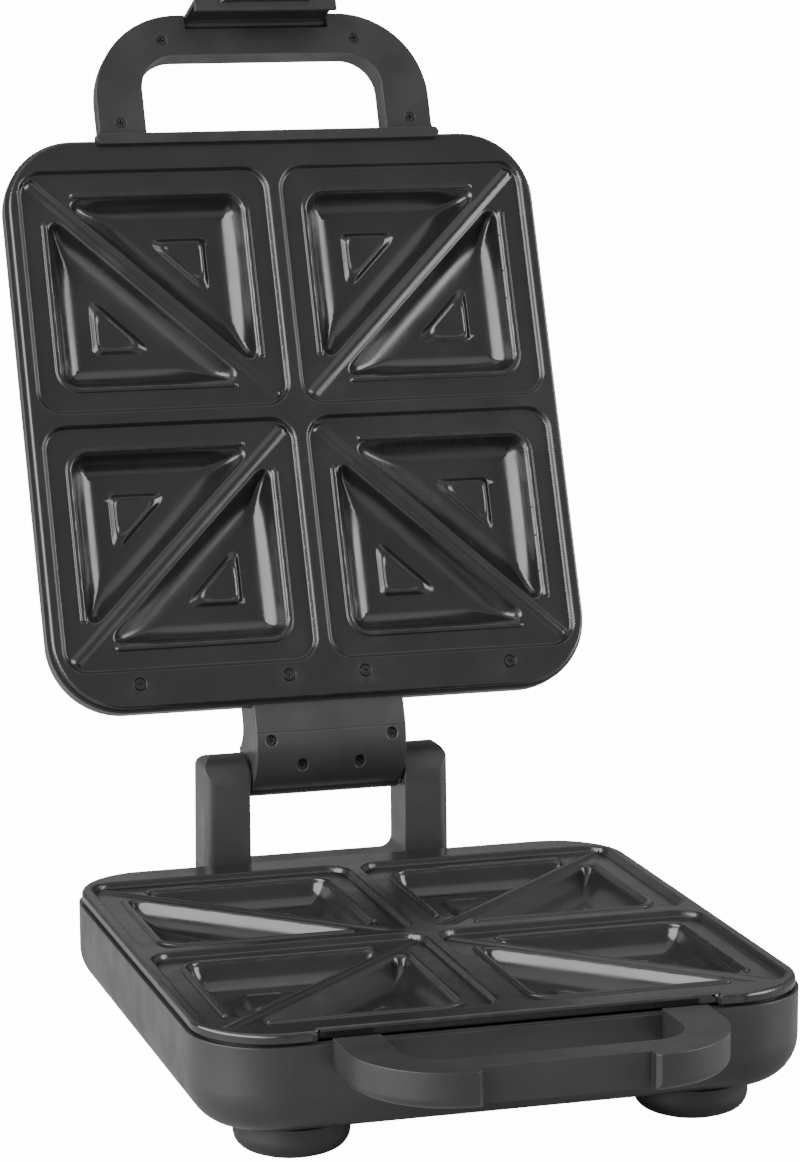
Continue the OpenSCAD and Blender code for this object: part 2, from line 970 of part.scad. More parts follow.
module thermostat() {
    strap = [28, 10, 1.2];
    tab = [0.8, 3, 6];
    color(sheet_alu)
        placed()
            on_base()
                translate([0, 0, -ledge_depth - plate_t - held_gap])
                    mirror([0, 0, 1]) {
                        translate([-strap[0] / 2, -strap[1] / 2, 0])
                            cube(strap);
                        cylinder(r = thermostat_r, h = thermostat_h - 2);
                        cylinder(r = thermostat_r - 3, h = thermostat_h);
                        for (s = [-1, 1])
                            translate([s * thermostat_tab - tab[0] / 2, 2, thermostat_h - 3])
                                cube(tab);
                    }
}

module thermal_fuse() {
    color(steel)
        placed()
            on_base()
                translate([0, fuse_y, fuse_z]) {
                    rotate([-90, 0, 0])
                        cylinder(r = fuse_r, h = fuse_l);
                    translate([0, -fuse_lead, 0])
                        rotate([-90, 0, 0])
                            cylinder(r = 0.8, h = fuse_l + 2 * fuse_lead);
                }
}

module terminal_block() {
    color("ivory")
        placed()
            on_base()
                translate([block_x, block_y, wall - base_depth + held_gap])
                    difference() {
                        translate([-block_size[0] / 2, -block_size[1] / 2, 0])
                            cube(block_size);
                        for (k = [-1:1])
                            translate([k * block_step, 0, block_bore]) {
                                translate([0, -block_size[1] / 2 - 1, 0])
                                    rotate([-90, 0, 0])
                                        cylinder(r = 2.4, h = block_size[1] + 2);
                                cylinder(r = 2, h = block_size[2]);
                            }
                    }
}

// Round wire through a list of places
module wire(points, r) {
    last = len(points) - 1;
    for (k = [0:last - 1]) {
        v = points[k + 1] - points[k];
        translate(points[k])
            rotate([0, acos(v[2] / norm(v)), atan2(v[1], v[0])])
                cylinder(r = r, h = norm(v));
    }
    for (k = [1:last - 1])
        translate(points[k])
            sphere(r + 0.12);
}

module base_wiring() {
    low = wall - base_depth + block_bore;
    side = block_size[1] / 2 + wire_gap;
    bend = side + 5;
    under = -reflector_drop - reflector_t - 5;
    loop_z = tab_end - 3.5;
    tab_z = -element_drop - 1.8;
    tab_y = element_y + element_hook + element_leg + 5;
    fuse_end = fuse_y + fuse_l + fuse_lead + 1.2 + held_gap;
    color(wire_red)
        placed()
            on_base() {
                // From the block to both heater ends
                wire([[block_x + block_step, block_y + side, low],
                    [block_x + block_step, block_y + bend, low],
                    [element_leg_x, block_y + bend, low + 7], [element_leg_x, tab_y, tab_z]], 1.3);
                wire([[block_x, block_y + side, low], [block_x, block_y + bend, low],
                    [-element_leg_x, block_y + bend, low + 7], [-element_leg_x, tab_y, tab_z]], 1.3);
                // From the block under the reflector and up to the thermostat
                wire([[block_x, block_y - side, low], [block_x, block_y - 2 * side, low],
                    [-thermostat_tab, wire_hole_y, under], [-thermostat_tab, wire_hole_y, loop_z],
                    [-thermostat_tab, 4, loop_z], [-thermostat_tab, 4, tab_end - wire_gap]], 1.3);
                // From the thermostat to the fuse
                wire([[thermostat_tab, 4, tab_end - wire_gap], [thermostat_tab, 4, loop_z],
                    [thermostat_tab, -16, loop_z], [0, fuse_end, fuse_z - 5.5], [0, fuse_end, fuse_z]], 1.2);
            }
}

module cord_gland() {
    color(charcoal)
        placed()
            on_base()
                translate([gland_x, casing_rear, gland_z])
                    rotate([-90, 0, 0])
                        difference() {
                            union() {
                                translate([0, 0, held_gap])
                                    cylinder(r1 = gland_flange, r2 = gland_flange - 1, h = 3);
                                translate([0, 0, -wall - 3])
                                    cylinder(r = gland_barrel, h = wall + 4);
                                translate([0, 0, -wall - 3])
                                    cylinder(r = gland_flange - 1, h = 3 - held_gap);
                            }
                            translate([0, 0, -wall - 4])
                                cylinder(r = gland_bore, h = wall + 8);
                        }
}

// ---- Feet ----

module foot_at(sx, sy) {
    drop = foot_h - pad_proud;
    color(charcoal)
        placed()
            translate([sx * foot_x, plate_cy + sy * foot_y, pad_proud])
                difference() {
                    rotate_extrude()
                        edge_profile(foot_d / 2, foot_round, drop);
                    translate([0, 0, -1])
                        cylinder(d = pad_d + 0.4, h = pad_t - pad_proud + 1);
                    translate([0, 0, -1])
                        cylinder(d = foot_head_d + 0.6, h = pad_t + 4);
                    cylinder(d = foot_screw_d + 2 * held_gap, h = drop + 1);
                }
}

module front_left_foot() {
    foot_at(-1, -1);
}

module front_right_foot() {
    foot_at(1, -1);
}

module rear_left_foot() {
    foot_at(-1, 1);
}

module rear_right_foot() {
    foot_at(1, 1);
}

module foot_pads() {
    color([0.1, 0.1, 0.1])
        placed()
            foot_places()
                difference() {
                    cylinder(d = pad_d, h = pad_t);
                    translate([0, 0, -1])
                        cylinder(d = foot_head_d + 1, h = pad_t + 2);
                }
}

module foot_screws() {
    seat = pad_proud + pad_t + 3;
    color(steel)
        placed()
            foot_places()
                translate([0, 0, seat - 2.4])
                    mirror([0, 0, 1])
                        screw(foot_h + foot_boss_h - seat, foot_screw_d, foot_head_d, 2.4);
}

// ---- Hinge ----

module along_y(y0, y1) {
    translate([0, y1, 0])
        rotate([90, 0, 0])
            linear_extrude(y1 - y0)
                children();
}

module both_sides() {
    for (s = [0, 1])
        mirror([s, 0, 0])
            children();
}

// One arm: the common part of its side, front and top outlines
module hinge_arm() {
    h = axis_h + arm_r - block_low;
    intersection() {
        translate([arm_in, 0, 0])
            rotate([90, 0, 90])
                linear_extrude(arm_w) {
                    translate([axis_y, axis_h])
                        circle(arm_r);
                    translate([axis_y - arm_r, block_low])
                        square([2 * arm_r, axis_h - block_low]);
                }
        along_y(casing_rear, block_rear + 1)
            translate([arm_in, block_low]) {
                polygon([[0, 0], [arm_w, 0], [arm_w - arm_taper, h - arm_corner],
                    [arm_w - arm_taper - arm_corner, h], [0, h]]);
                translate([arm_w - arm_taper - arm_corner, h - arm_corner])
                    circle(arm_corner);
            }
        translate([0, 0, block_low - 1])
            linear_extrude(h + 2)
                arm_plan(axis_y - arm_r);
    }
}

// Plan of one half of the block, from y = front, with rounded outer corners
module arm_plan(front) {
    d = block_rear - front;
    translate([0, front])
        square([arm_out - arm_edge, d]);
    translate([0, front + arm_edge])
        square([arm_out, d - 2 * arm_edge]);
    for (y = [front + arm_edge, block_rear - arm_edge])
        translate([arm_out - arm_edge, y])
            circle(arm_edge);
}

module hatch_cover_places() {
    for (sx = [-1, 1], z = [cavity_low + boss_r, cavity_top - boss_r])
        translate([sx * (cavity_half - boss_r), block_rear, z])
            rotate([-90, 0, 0])
                children();
}

module hinge_block() {
    color(charcoal)
        placed()
            on_base()
                difference() {
                    both_sides() {
                        hinge_arm();
                        translate([-1, 0, block_low])
                            linear_extrude(block_top - block_low) {
                                translate([0, casing_rear])
                                    square([arm_out + 1, block_rear - arm_edge - casing_rear]);
                                arm_plan(casing_rear);
                            }
                        // Fillet at the foot of the arm
                        along_y(axis_y - arm_r, block_rear)
                            difference() {
                                translate([arm_in - block_fillet, block_top - 1])
                                    square(block_fillet + 1);
                                translate([arm_in - block_fillet, block_top + block_fillet])
                                    circle(block_fillet);
                            }
                    }
                    difference() {
                        along_y(casing_rear + block_front_wall, block_rear + 1)
                            translate([-cavity_half, cavity_low])
                                square([2 * cavity_half, cavity_top - cavity_low]);
                        hatch_cover_places()
                            translate([0, 0, -block_rear])
                                cylinder(r = boss_r + 0.5, h = block_rear - cover_t);
                    }
                    along_y(block_rear - cover_t, block_rear + 1)
                        hatch_outline(cover_gap);
                    hatch_cover_places()
                        translate([0, 0, -hatch_screw_len - 1])
                            cylinder(d = shank_d + 2 * held_gap, h = hatch_screw_len);
                    translate([-hatch[0] / 2, casing_rear - 1, hatch_z])
                        cube([hatch[0], block_front_wall + 2, hatch[1]]);
                    hinge_screw_places(root_screw_z)
                        screw_hole(hinge_screw_len);
                    both_sides()
                        translate([arm_in - 1, axis_y, axis_h])
                            rotate([0, 90, 0])
                                cylinder(r = pin_r + held_gap, h = pin_out + 1.1);
                }
}

module hatch_outline(gap) {
    w = 2 * (cavity_half + cover_lap + gap);
    h = cavity_top - cavity_low + 2 * (cover_lap + gap);
    translate([0, (cavity_top + cavity_low) / 2])
        rounded_rect(w, h, 2);
}

module hinge_rear_cover() {
    color(charcoal)
        placed()
            on_base()
                difference() {
                    along_y(block_rear - cover_t, block_rear)
                        hatch_outline(0);
                    hatch_cover_places()
                        screw_hole(hatch_screw_len, thick = hatch_screw_head);
                }
}

module hinge_cover_screws() {
    color(steel)
        placed()
            on_base()
                hatch_cover_places()
                    screw(hatch_screw_len, thick = hatch_screw_head);
}

module hinge_block_screws() {
    color(steel)
        placed()
            on_base()
                hinge_screw_places(root_screw_z)
                    screw(hinge_screw_len);
}

module hinge_pin(side) {
    color(steel)
        placed()
            on_base()
                mirror([side, 0, 0])
                    translate([tongue_half - pin_in, axis_y, axis_h])
                        rotate([0, 90, 0])
                            cylinder(r = pin_r, h = pin_in + arm_gap + pin_out);
}

module right_hinge_pin() {
    hinge_pin(0);
}

module left_hinge_pin() {
    hinge_pin(1);
}

// ---- Lid pieces ----

// Frame of the open lid: z = 0 is its plate's rim as it lies when closed
module on_lid() {
    placed()
        open_lid()
            children();
}

// The same, with everything drawn downwards as for the base
module under_lid() {
    on_lid()
        mirror([0, 0, 1])
            children();
}

module lid_shell() {
    color(charcoal)
        under_lid()
            difference() {
                union() {
                    casing_half(lid_depth, lid_edge_r);
                    intersection() {
                        casing_solid(lid_depth, lid_edge_r);
                        lid_screw_places()
                            translate([0, 0, -lid_depth])
                                cylinder(r = 4.5, h = lid_depth - screw_pad_h - piece_gap);
                    }
                }
                lid_screw_places()
                    translate([0, 0, -plate_screw_len - 1])
                        cylinder(d = shank_d + 2 * held_gap, h = plate_screw_len + 1);
                lamp_places()
                    translate([0, 0, -lid_depth - 1])
                        cylinder(r = lamp_r + held_gap, h = wall + 2);
                root_screw_places(root_screw_z)
                    screw_hole(root_screw_len);
                hinge_screw_places(root_screw_z)
                    screw_hole(hinge_screw_len);
            }
}

module upper_plate() {
    color(coated)
        under_lid()
            difference() {
                union() {
                    cast_plate();
                    lid_screw_places()
                        translate([0, 0, -screw_pad_h])
                            cylinder(r = 4.5, h = screw_pad_h - plate_t / 2);
                }
                lid_screw_places()
                    translate([0, 0, -plate_screw_sink])
                        screw_hole(plate_screw_len);
            }
}

module upper_plate_screws() {
    color(steel)
        under_lid()
            lid_screw_places()
                translate([0, 0, -plate_screw_sink])
                    screw(plate_screw_len);
}

module upper_element() {
    color(steel)
        under_lid()
            element();
}

module upper_reflector() {
    color(sheet_alu)
        under_lid()
            reflector();
}

// Everything that the lid's outline fills near its front or rear wall, drawn closed
module lid_wall_section(half) {
    across_x(half)
        for (y = [casing_front, casing_rear - 2 * lid_edge_r]) {
            translate([y + lid_edge_r, lid_depth - lid_edge_r])
                circle(lid_edge_r);
            translate([y, -1])
                square([2 * lid_edge_r, lid_depth - lid_edge_r + 1]);
        }
}

module lid_handle() {
    t = lid_handle_t - handle_cover_t;
    color(charcoal)
        on_lid()
            difference() {
                translate([0, 0, handle_cover_t])
                    handle_bar(0, t, lid_edge, casing_front + lid_edge_r / 2);
                lid_wall_section(handle_w);
                translate([0, 0, handle_cover_t - 1])
                    handle_channel(0, t - handle_wall + 1)
                        lid_handle_screw_places()
                            screw_boss(t);
                lid_handle_screw_places()
                    pilot_hole(handle_cover_t - 1);
                latch_slot(slot_top);
                translate([-seat_half - latch_pin_in, latch_y, latch_z])
                    rotate([0, 90, 0])
                        cylinder(r = latch_pin_r + held_gap, h = 2 * (seat_half + latch_pin_in));
                root_screw_places(-root_screw_z)
                    screw_hole(root_screw_len);
            }
}

module latch_slot(top) {
    translate([-seat_half, handle_front - 1, -1])
        cube([2 * seat_half, slot_in + 1, top + 1]);
}

module lid_handle_cover() {
    color(charcoal)
        on_lid()
            difference() {
                union() {
                    linear_extrude(handle_cover_t)
                        difference() {
                            handle_plan(handle_w, handle_front, handle_r, plate_front - piece_gap);
                            handle_plan(2 * hole_half, hole_front, hole_r, plate_front);
                        }
                    root_bar();
                    root_ears();
                }
                latch_slot(slot_top);
                lid_handle_screw_places()
                    translate([0, 0, cover_sink])
                        mirror([0, 0, 1])
                            screw_hole(cover_screw_len);
            }
}

// Bar that closes the gap between the hand hole and the plate
module root_bar() {
    r = (bar_rear - bar_front) / 2;
    translate([0, 0, -bar_h])
        linear_extrude(bar_h)
            for (s = [-1, 1]) {
                translate([s * (bar_half - r), bar_front + r])
                    circle(r);
                translate([s > 0 ? 0 : -(bar_half - r), bar_front])
                    square([bar_half - r, 2 * r]);
            }
    translate([-hole_half - 1, bar_front, -bar_h])
        cube([2 * hole_half + 2, plate_front - piece_gap - bar_front, bar_h + handle_cover_t]);
}

// Where the handle's sides flare out to the ends of the root bar
module root_ears() {
    flare = bar_half - handle_w / 2;
    linear_extrude(handle_cover_t)
        for (s = [0, 1])
            mirror([s, 0])
                difference() {
                    translate([handle_w / 2 - 1, bar_front - flare])
                        square([flare + 1, flare + (bar_rear - bar_front) / 2]);
                    translate([bar_half, bar_front - flare])
                        circle(flare);
                }
}

module lid_handle_screws() {
    color(steel)
        on_lid()
            lid_handle_screw_places()
                translate([0, 0, cover_sink])
                    mirror([0, 0, 1])
                        screw(cover_screw_len);
}

module lid_root_screws() {
    color(steel)
        on_lid()
            root_screw_places(-root_screw_z)
                screw(root_screw_len);
}

// ---- Hinge tongue ----

// Height of the tongue's lower face at y
function tongue_low(y) = arc_z - sqrt(pow(arc_r, 2) - pow(y - arc_y, 2));

tongue_boss_r = 3.4;
tongue_boss_h = head_h + 2.2;
tongue_screw_len = tongue_boss_h + 6.8;
tongue_screws_at = [[30.3, arc_y + split_at + tongue_boss_r + 0.2], [14.4, arc_y + 0.67 * arc_r]];

// Height of a screw head's face, just inside the tongue's lower face
function seat_z(p) = tongue_low(p[1] + head_d / 2 + 0.2) + 0.3;

module tongue_screw_places() {
    for (s = [-1, 1], p = tongue_screws_at)
        translate([s * p[0], p[1], seat_z(p)])
            children();
}

module tongue_outline() {
    hollow_y = arc_y - tongue_hollow;
    tongue_crown = lid_axis_h + barrel_r;
    difference() {
        union() {
            translate([arc_y, arc_z])
                intersection() {
                    circle(arc_r);
                    translate([0, -arc_r])
                        square(arc_r);
                }
            translate([tongue_root, arc_z - arc_r])
                square([arc_y - tongue_root, tongue_top - arc_z + arc_r]);
            translate([axis_y, lid_axis_h])
                circle(barrel_r);
            translate([hollow_y, arc_z - 6])
                square([axis_y - hollow_y, tongue_crown - arc_z + 6]);
        }
        translate([casing_rear - lid_edge_r, lid_depth - lid_edge_r])
            circle(lid_edge_r);
        translate([casing_rear - 2 * lid_edge_r, 0])
            square([2 * lid_edge_r, lid_depth - lid_edge_r]);
        translate([hollow_y, tongue_crown])
            circle(tongue_crown - tongue_top);
    }
}

// Section of the tongue's cover, or of the room behind it when moved in
module cover_section(inside, gap) {
    intersection() {
        translate([arc_y, arc_z])
            circle(arc_r - inside);
        translate([arc_y + split_at - gap, arc_z - arc_r - 1])
            square([arc_r, arc_r - 4 + gap]);
    }
}

module hinge_tongue() {
    color(charcoal)
        on_lid()
            difference() {
                across_x(tongue_half)
                    tongue_outline();
                across_x(tongue_half + 1)
                    difference() {
                        cover_section(-1, 0.05);
                        cover_section(tongue_cover_t, 1);
                    }
                // Room behind the cover, with its screw bosses left standing
                difference() {
                    across_x(tongue_half - tongue_wall)
                        difference() {
                            cover_section(tongue_cover_t - 0.5, 0);
                            translate([axis_y, lid_axis_h])
                                circle(barrel_r + 1);
                        }
                    tongue_screw_places()
                        translate([0, 0, tongue_boss_h + held_gap])
                            cylinder(r = tongue_boss_r + 0.5, h = lid_depth);
                }
                tongue_screw_places()
                    cylinder(d = shank_d + 2 * held_gap, h = tongue_screw_len + 1);
                tongue_screw_places()
                    translate([0, 0, -head_h])
                        cylinder(r = tongue_boss_r + held_gap, h = head_h + tongue_boss_h + held_gap);
                for (s = [-1, 1])
                    translate([s * (tongue_half - bush_len / 2), axis_y, lid_axis_h])
                        rotate([0, 90, 0])
                            cylinder(r = pin_r + running_gap + bush_wall + held_gap,
                                h = bush_len + 0.2, center = true);
                hinge_screw_places(-root_screw_z)
                    screw_hole(hinge_screw_len);
            }
}

module hinge_tongue_cover() {
    color(charcoal)
        on_lid()
            difference() {
                union() {
                    across_x(tongue_half)
                        difference() {
                            cover_section(0, 0);
                            cover_section(tongue_cover_t, 1);
                        }
                    intersection() {
                        across_x(tongue_half)
                            cover_section(0, 0);
                        tongue_screw_places()
                            translate([0, 0, -boss_r])
                                cylinder(r = tongue_boss_r, h = boss_r + tongue_boss_h);
                    }
                }
                tongue_screw_places()
                    mirror([0, 0, 1])
                        screw_hole(tongue_screw_len);
            }
}

module tongue_screws() {
    color(steel)
        on_lid()
            tongue_screw_places()
                mirror([0, 0, 1])
                    screw(tongue_screw_len);
}

module lid_hinge_screws() {
    color(steel)
        on_lid()
            hinge_screw_places(-root_screw_z)
                screw(hinge_screw_len);
}

module hinge_bush(side) {
    r = pin_r + running_gap + bush_wall;
    color("wheat")
        on_lid()
            mirror([side, 0, 0])
                translate([tongue_half - bush_len, axis_y, lid_axis_h])
                    rotate([0, 90, 0])
                        difference() {
                            union() {
                                cylinder(r = r, h = bush_len);
                                translate([0, 0, bush_len])
                                    cylinder(r = r + 2, h = bush_flange);
                            }
                            translate([0, 0, -1])
                                cylinder(r = pin_r + running_gap, h = bush_len + bush_flange + 2);
                        }
}

module right_hinge_bush() {
    hinge_bush(0);
}

module left_hinge_bush() {
    hinge_bush(1);
}

// ---- Lamps and lid wiring, drawn downwards like the lid's shell ----

module lamp_lens(k) {
    under_lid()
        translate([k * lamp_x, lamp_y, -lid_depth]) {
            translate([0, 0, -lamp_dome])
                cylinder(r1 = lamp_r, r2 = lamp_r + 1.4, h = lamp_dome);
            cylinder(r = lamp_r, h = wall + lamp_back);
        }
}

module power_lamp() {
    color([0.75, 0.1, 0.08])
        lamp_lens(-1);
}

module ready_lamp() {
    color([0.15, 0.6, 0.2])
        lamp_lens(1);
}

module lamp_bulbs() {
    color([0.95, 0.85, 0.7])
        under_lid()
            lamp_places()
                translate([0, 0, wall + lamp_back + held_gap - lid_depth])
                    cylinder(r = 2.8, h = bulb_h);
}

module lid_wiring() {
    behind = -(reflector_drop + reflector_t + lid_depth - wall) / 2;
    tab_z = -element_drop - 1.8;
    tab_y = element_y + element_hook + element_leg + 5;
    bulb_end = wall + lamp_back + bulb_h + 1.2 - lid_depth;
    color(wire_red)
        under_lid()
            for (s = [-1, 1]) {
                wire([[s * element_leg_x, tab_y, tab_z], [s * element_leg_x, tab_y, behind],
                    [s * 3, tab_y - 6, behind]], 1.1);
                wire([[s * lamp_x, lamp_y, bulb_end], [s * lamp_x, lamp_y + 9, bulb_end],
                    [s * lamp_x * 1.3, lamp_y + 9, behind], [s * lamp_x * 1.3, tab_y - 12, behind]], 1.1);
            }
}

// ---- Latch ----

module latch_frame() {
    on_lid()
        translate([0, latch_y, latch_z])
            children();
}

module latch_pin() {
    half = seat_half + latch_pin_in - 0.1;
    color(steel)
        latch_frame()
            translate([-half, 0, 0])
                rotate([0, 90, 0])
                    cylinder(r = latch_pin_r, h = 2 * half);
}

// Clip as wide as its slot, with a hook along its foot
module latch_section() {
    back = -latch_face - latch_t;
    circle(latch_boss_r);
    translate([back, -hook_drop - latch_toe_t])
        square([latch_t, hook_drop + latch_toe_t]);
    translate([back, -hook_drop - latch_toe_t])
        square([latch_toe - back, latch_toe_t]);
}

module tab_section() {
    back = -latch_face - latch_t;
    foot = -hook_drop - latch_toe_t;
    polygon([[back, foot + latch_toe_t], [-latch_face, foot + latch_toe_t], [-latch_face, foot],
        [-latch_face - tab_flare, foot - tab_drop], [back - tab_flare, foot - tab_drop]]);
}

module latch_clip() {
    tab_h = 2 * (tab_drop + latch_toe_t);
    color(charcoal)
        latch_frame()
            difference() {
                union() {
                    across_x(latch_w / 2)
                        latch_section();
                    intersection() {
                        across_x(tab_w / 2)
                            tab_section();
                        along_y(-20, 0)
                            translate([0, -hook_drop - latch_toe_t - tab_drop + tab_h / 2])
                                rounded_rect(tab_w, tab_h, tab_r);
                    }
                }
                translate([-latch_w, 0, 0])
                    rotate([0, 90, 0])
                        cylinder(r = latch_pin_r + running_gap, h = 2 * latch_w);
            }
}

base_housing();
base_handle();
base_handle_cover();
base_handle_screws();
base_root_screws();
lower_plate();
lower_plate_screws();
lower_element();
lower_reflector();
thermostat();
thermal_fuse();
terminal_block();
base_wiring();
cord_gland();
front_left_foot();
front_right_foot();
rear_left_foot();
rear_right_foot();
foot_pads();
foot_screws();
hinge_block();
hinge_rear_cover();
hinge_cover_screws();
hinge_block_screws();
left_hinge_pin();
right_hinge_pin();
lid_shell();
upper_plate();
upper_plate_screws();
upper_element();
upper_reflector();
lid_handle();
lid_handle_cover();
lid_handle_screws();
lid_root_screws();
hinge_tongue();
hinge_tongue_cover();
tongue_screws();
lid_hinge_screws();
left_hinge_bush();
right_hinge_bush();
power_lamp();
ready_lamp();
lamp_bulbs();
lid_wiring();
latch_pin();
latch_clip();
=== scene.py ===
# Four-slice sandwich toaster standing open on a pale floor
import json
import math

import bpy
import numpy as np
from mathutils import Matrix, Vector
from mathutils.geometry import delaunay_2d_cdt


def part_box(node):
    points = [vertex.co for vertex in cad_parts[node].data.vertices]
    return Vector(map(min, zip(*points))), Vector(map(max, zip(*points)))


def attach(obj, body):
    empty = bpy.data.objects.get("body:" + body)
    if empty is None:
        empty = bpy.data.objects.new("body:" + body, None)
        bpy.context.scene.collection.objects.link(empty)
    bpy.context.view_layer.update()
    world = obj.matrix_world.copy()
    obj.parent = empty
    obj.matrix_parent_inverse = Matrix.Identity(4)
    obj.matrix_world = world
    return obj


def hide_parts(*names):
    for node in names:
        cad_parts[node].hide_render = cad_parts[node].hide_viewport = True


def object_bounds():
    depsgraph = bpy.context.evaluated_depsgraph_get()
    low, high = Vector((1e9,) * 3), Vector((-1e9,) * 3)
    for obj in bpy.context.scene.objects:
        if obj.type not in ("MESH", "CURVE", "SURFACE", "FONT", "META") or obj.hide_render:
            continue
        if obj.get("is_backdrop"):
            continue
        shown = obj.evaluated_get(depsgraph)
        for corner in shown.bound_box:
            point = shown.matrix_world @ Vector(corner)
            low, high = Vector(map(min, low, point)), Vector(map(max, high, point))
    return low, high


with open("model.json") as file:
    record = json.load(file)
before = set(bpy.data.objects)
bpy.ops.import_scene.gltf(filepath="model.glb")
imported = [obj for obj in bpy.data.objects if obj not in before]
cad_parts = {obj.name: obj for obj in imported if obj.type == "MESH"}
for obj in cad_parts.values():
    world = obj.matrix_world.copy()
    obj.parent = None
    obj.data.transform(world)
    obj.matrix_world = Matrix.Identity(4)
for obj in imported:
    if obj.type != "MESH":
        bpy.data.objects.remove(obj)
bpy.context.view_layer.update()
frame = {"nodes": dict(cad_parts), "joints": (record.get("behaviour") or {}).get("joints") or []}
nodes = frame["nodes"]
joints = {joint["name"]: joint for joint in frame["joints"]}
mm = 0.001
print("frame loaded:", len(nodes), "nodes")

hinge = joints["lid_hinge"]

# The camera looks at a place that keeps its distance from the hinge
camera = {
    "fromHinge": (-0.0055, -0.1754, 0.0683),
    "azimuth": -16.563,
    "elevation": 11.835,
    "roll": 0.288,
    "distance": 1.6967,
    "lens": 118.36,
    "shift": (-0.01013, 0.10867),
    "sensor": 36,
    "clipEnd": 20,
}


def addCamera():
    azimuth, elevation = math.radians(camera["azimuth"]), math.radians(camera["elevation"])
    look = Vector((-math.sin(azimuth) * math.cos(elevation),
                   math.cos(azimuth) * math.cos(elevation), -math.sin(elevation)))
    right = look.cross(Vector((0, 0, 1))).normalized()
    turn = Matrix.Rotation(math.radians(camera["roll"]), 3, look)
    right = turn @ right
    up = right.cross(look)
    data = bpy.data.cameras.new("studioCamera")
    data.lens = camera["lens"]
    data.sensor_width = camera["sensor"]
    data.shift_x, data.shift_y = camera["shift"]
    data.clip_end = camera["clipEnd"]
    body = bpy.data.objects.new("studioCamera", data)
    place = Matrix((right, up, -look)).transposed().to_4x4()
    target = Vector(hinge["pos_m"]) + Vector(camera["fromHinge"])
    place.translation = target - look * camera["distance"]
    body.matrix_world = place
    bpy.context.scene.collection.objects.link(body)
    bpy.context.scene.camera = body
    print("camera set")


addCamera()


# Plate coordinates are millimetres from the pockets' crossing, with the rim at z = 0
plate = {
    "pocket": (125.5, 122.0),     # one pocket, side to side and front to back
    "gap": 6.0,                   # flat strip between pockets
    "pocketR": 12.0,
    "margins": (5.3, 15.0, 18.0),  # rim at the side, in front and behind
    "cornerR": 35.0,
    "ledgeDepth": 3.0,
    "ledgeW": 14.0,
    "wellDepth": 14.0,
    "wallRun": 13.0,
    "innerRun": 15.0,
    "wallAngle": 70.0,            # steepest slope of a well's wall, which ends in a wide fillet
    "wellR": 8.0,
    "tipCut": 5.0,
    "dividerHalf": 4.5,
    "dividerTop": 0.45,
    "dividerDrop": 1.7,
    "beadIn": 10.25,
    "beadW": 3.2,
    "beadH": 1.25,
    "beadEnd": 0.7,
    "islandLeg": 29.0,
    "islandH": 1.4,
    "islandIn": 18.5,
    "edgeR": 1.6,
    "skirtH": 4.6,
    "skirtT": 2.2,
    "notch": (88.0, 3.6),         # half width and depth of the lower plate's front notch
    "screwDish": 3.0,
    "screwSink": 1.3,
    "screwsIn": (40.9, 19.1, 11.5),   # upper screws, in from the side, the middle and the rear
}

pocketW, pocketD = plate["pocket"]
pocketX = plate["gap"] / 2 + pocketW / 2
pocketY = plate["gap"] / 2 + pocketD / 2
halfW = plate["gap"] / 2 + pocketW + plate["margins"][0]
plateFront = -(plate["gap"] / 2 + pocketD + plate["margins"][1])
plateRear = plate["gap"] / 2 + pocketD + plate["margins"][2]
plateCy = (plateFront + plateRear) / 2
halfD = (plateRear - plateFront) / 2

openAngle = math.radians(hinge["range_deg"][1])
meetGap = 0.6 * mm
low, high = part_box("lower_plate")
rimZ = high.z
planY = (low.y + high.y) / 2 - plateCy * mm   # row frame's y of the pockets' crossing

baseFrame = Matrix.Translation((0, planY, rimZ)) @ Matrix.Scale(mm, 4)
hingeAt = Vector(hinge["pos_m"])
lidFrame = (Matrix.Translation(hingeAt) @ Matrix.Rotation(-openAngle, 4, "X")
            @ Matrix.Translation(-hingeAt) @ Matrix.Translation((0, planY, rimZ + meetGap))
            @ Matrix.Scale(mm, 4))
underLid = lidFrame @ Matrix.Scale(-1, 4, (0, 0, 1))


def softStep(t):
    t = np.clip(t, 0, 1)
    return t * t * (3 - 2 * t)


def softMax(a, b, k):
    return np.maximum(a, b) + np.maximum(k - np.abs(a - b), 0) ** 2 / (4 * k)


def roundBox(x, y, halfX, halfY, r):
    a, b = np.abs(x) - halfX + r, np.abs(y) - halfY + r
    return np.minimum(np.maximum(a, b), 0) + np.hypot(np.maximum(a, 0), np.maximum(b, 0)) - r


def roundCorner(a, b, r):
    # distance outside the corner whose two sides are a = 0 and b = 0
    a, b = a + r, b + r
    return np.minimum(np.maximum(a, b), 0) + np.hypot(np.maximum(a, 0), np.maximum(b, 0)) - r


diagonal = math.hypot(pocketW, pocketD)
along = np.array([pocketW, pocketD]) / diagonal
wellX = pocketW / 2 - plate["ledgeW"]
wellY = pocketD / 2 - plate["ledgeW"]


def halfPocket(x, y):
    # folds the whole plate onto one half of one pocket, with the divider as its upper left side
    px, py = np.abs(x) - pocketX, np.abs(y) - pocketY
    side = px * along[1] - py * along[0]
    sign = np.where(side < 0, -1.0, 1.0)
    return px * sign, py * sign, np.abs(side), px, py


def wellTips():
    # the two acute corners of a well and the directions into it
    s = plate["dividerHalf"] * diagonal
    front = np.array([(s - wellY * pocketW) / pocketD, -wellY])
    rear = np.array([wellX, (wellX * pocketD - s) / pocketW])
    into = along + (1, 0)
    back = -along + (0, -1)
    return (front, into / np.linalg.norm(into)), (rear, back / np.linalg.norm(back))


